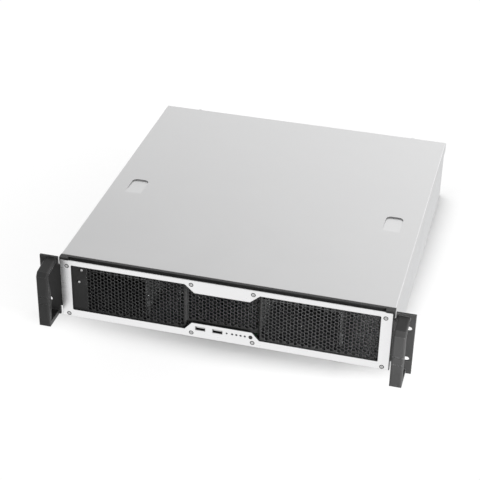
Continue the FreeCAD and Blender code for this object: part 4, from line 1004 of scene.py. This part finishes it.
def make_world():
    """Pale room: white where it is seen, in metal bright low at the back and greyer above."""
    world = bpy.data.worlds.new("pale_room")
    bpy.context.scene.world = world
    world.use_nodes = True
    tree = world.node_tree
    tree.nodes.clear()
    path = add_node(tree, "ShaderNodeLightPath").outputs
    way = split_axes(tree, add_node(tree, "ShaderNodeTexCoord").outputs["Generated"])
    low = remap(tree, way["Z"], ROOM_UP_BAND, 1.0, 0.0)
    to_right = remap(tree, way["X"], ROOM_RIGHT_BAND, 0.0, 1.0)
    lean = plus(tree, times(tree, low, ROOM_UP_WEIGHT), times(tree, to_right, ROOM_RIGHT_WEIGHT))
    above = blend_colour(tree, lean, grey(ROOM_HIGH), grey(ROOM_LOW))
    ground = remap(tree, way["Z"], ROOM_GROUND_BAND, 0.0, 1.0)
    behind = blend_colour(tree, ground, above, grey(ROOM_GROUND))
    in_front = remap(tree, way["Y"], ROOM_FRONT_BAND, 0.0, 1.0)
    room = blend_colour(tree, in_front, behind, grey(ROOM_FRONT))
    lit, shown, white = [
        result(tree, "ShaderNodeBackground", {"Color": colour, "Strength": strength})
        for colour, strength in ((WHITE, ROOM_LIGHT), (room, 1.0), (WHITE, 1.0))]
    not_seen = mix_shaders(tree, seen_in_metal(tree, path, bounces=2), lit, shown)
    whole = mix_shaders(tree, path["Is Camera Ray"], not_seen, white)
    add_node(tree, "ShaderNodeOutputWorld", {"Surface": whole})


def make_lamp(name, place, target, size, power):
    """A soft rectangular lamp that leaves no patch in the metal."""
    lamp = bpy.data.lights.new(name, "AREA")
    lamp.shape = "RECTANGLE"
    lamp.size, lamp.size_y = size
    lamp.energy = power
    holder = bpy.data.objects.new(name, lamp)
    bpy.context.scene.collection.objects.link(holder)
    holder.location = place
    holder.rotation_euler = (Vector(target) - Vector(place)).to_track_quat("-Z", "Y").to_euler()
    holder.visible_glossy = False
    holder.visible_camera = False


def make_camera():
    """The photograph's own view, with its slight roll."""
    forward = (CAMERA_TARGET - CAMERA_PLACE).normalized()
    right = forward.cross(Vector((0, 0, 1))).normalized()
    down = forward.cross(right)
    cosine = math.cos(CAMERA_ROLL)
    sine = math.sin(CAMERA_ROLL)
    across = right * cosine - down * sine
    up = -(right * sine + down * cosine)
    turn = Matrix((across, up, -forward)).transposed()
    camera = bpy.data.cameras.new("photo_view")
    camera.lens = LENS
    camera.sensor_width = SENSOR
    holder = bpy.data.objects.new("photo_view", camera)
    bpy.context.scene.collection.objects.link(holder)
    holder.matrix_world = Matrix.Translation(CAMERA_PLACE) @ turn.to_4x4()
    bpy.context.scene.camera = holder


dress_solids()
make_front_mesh()
make_all_screws()
make_stage()
make_world()
for lamp_name, lamp_settings in LAMPS.items():
    make_lamp(lamp_name, **lamp_settings)
make_camera()
bpy.context.scene.view_settings.view_transform = "Standard"
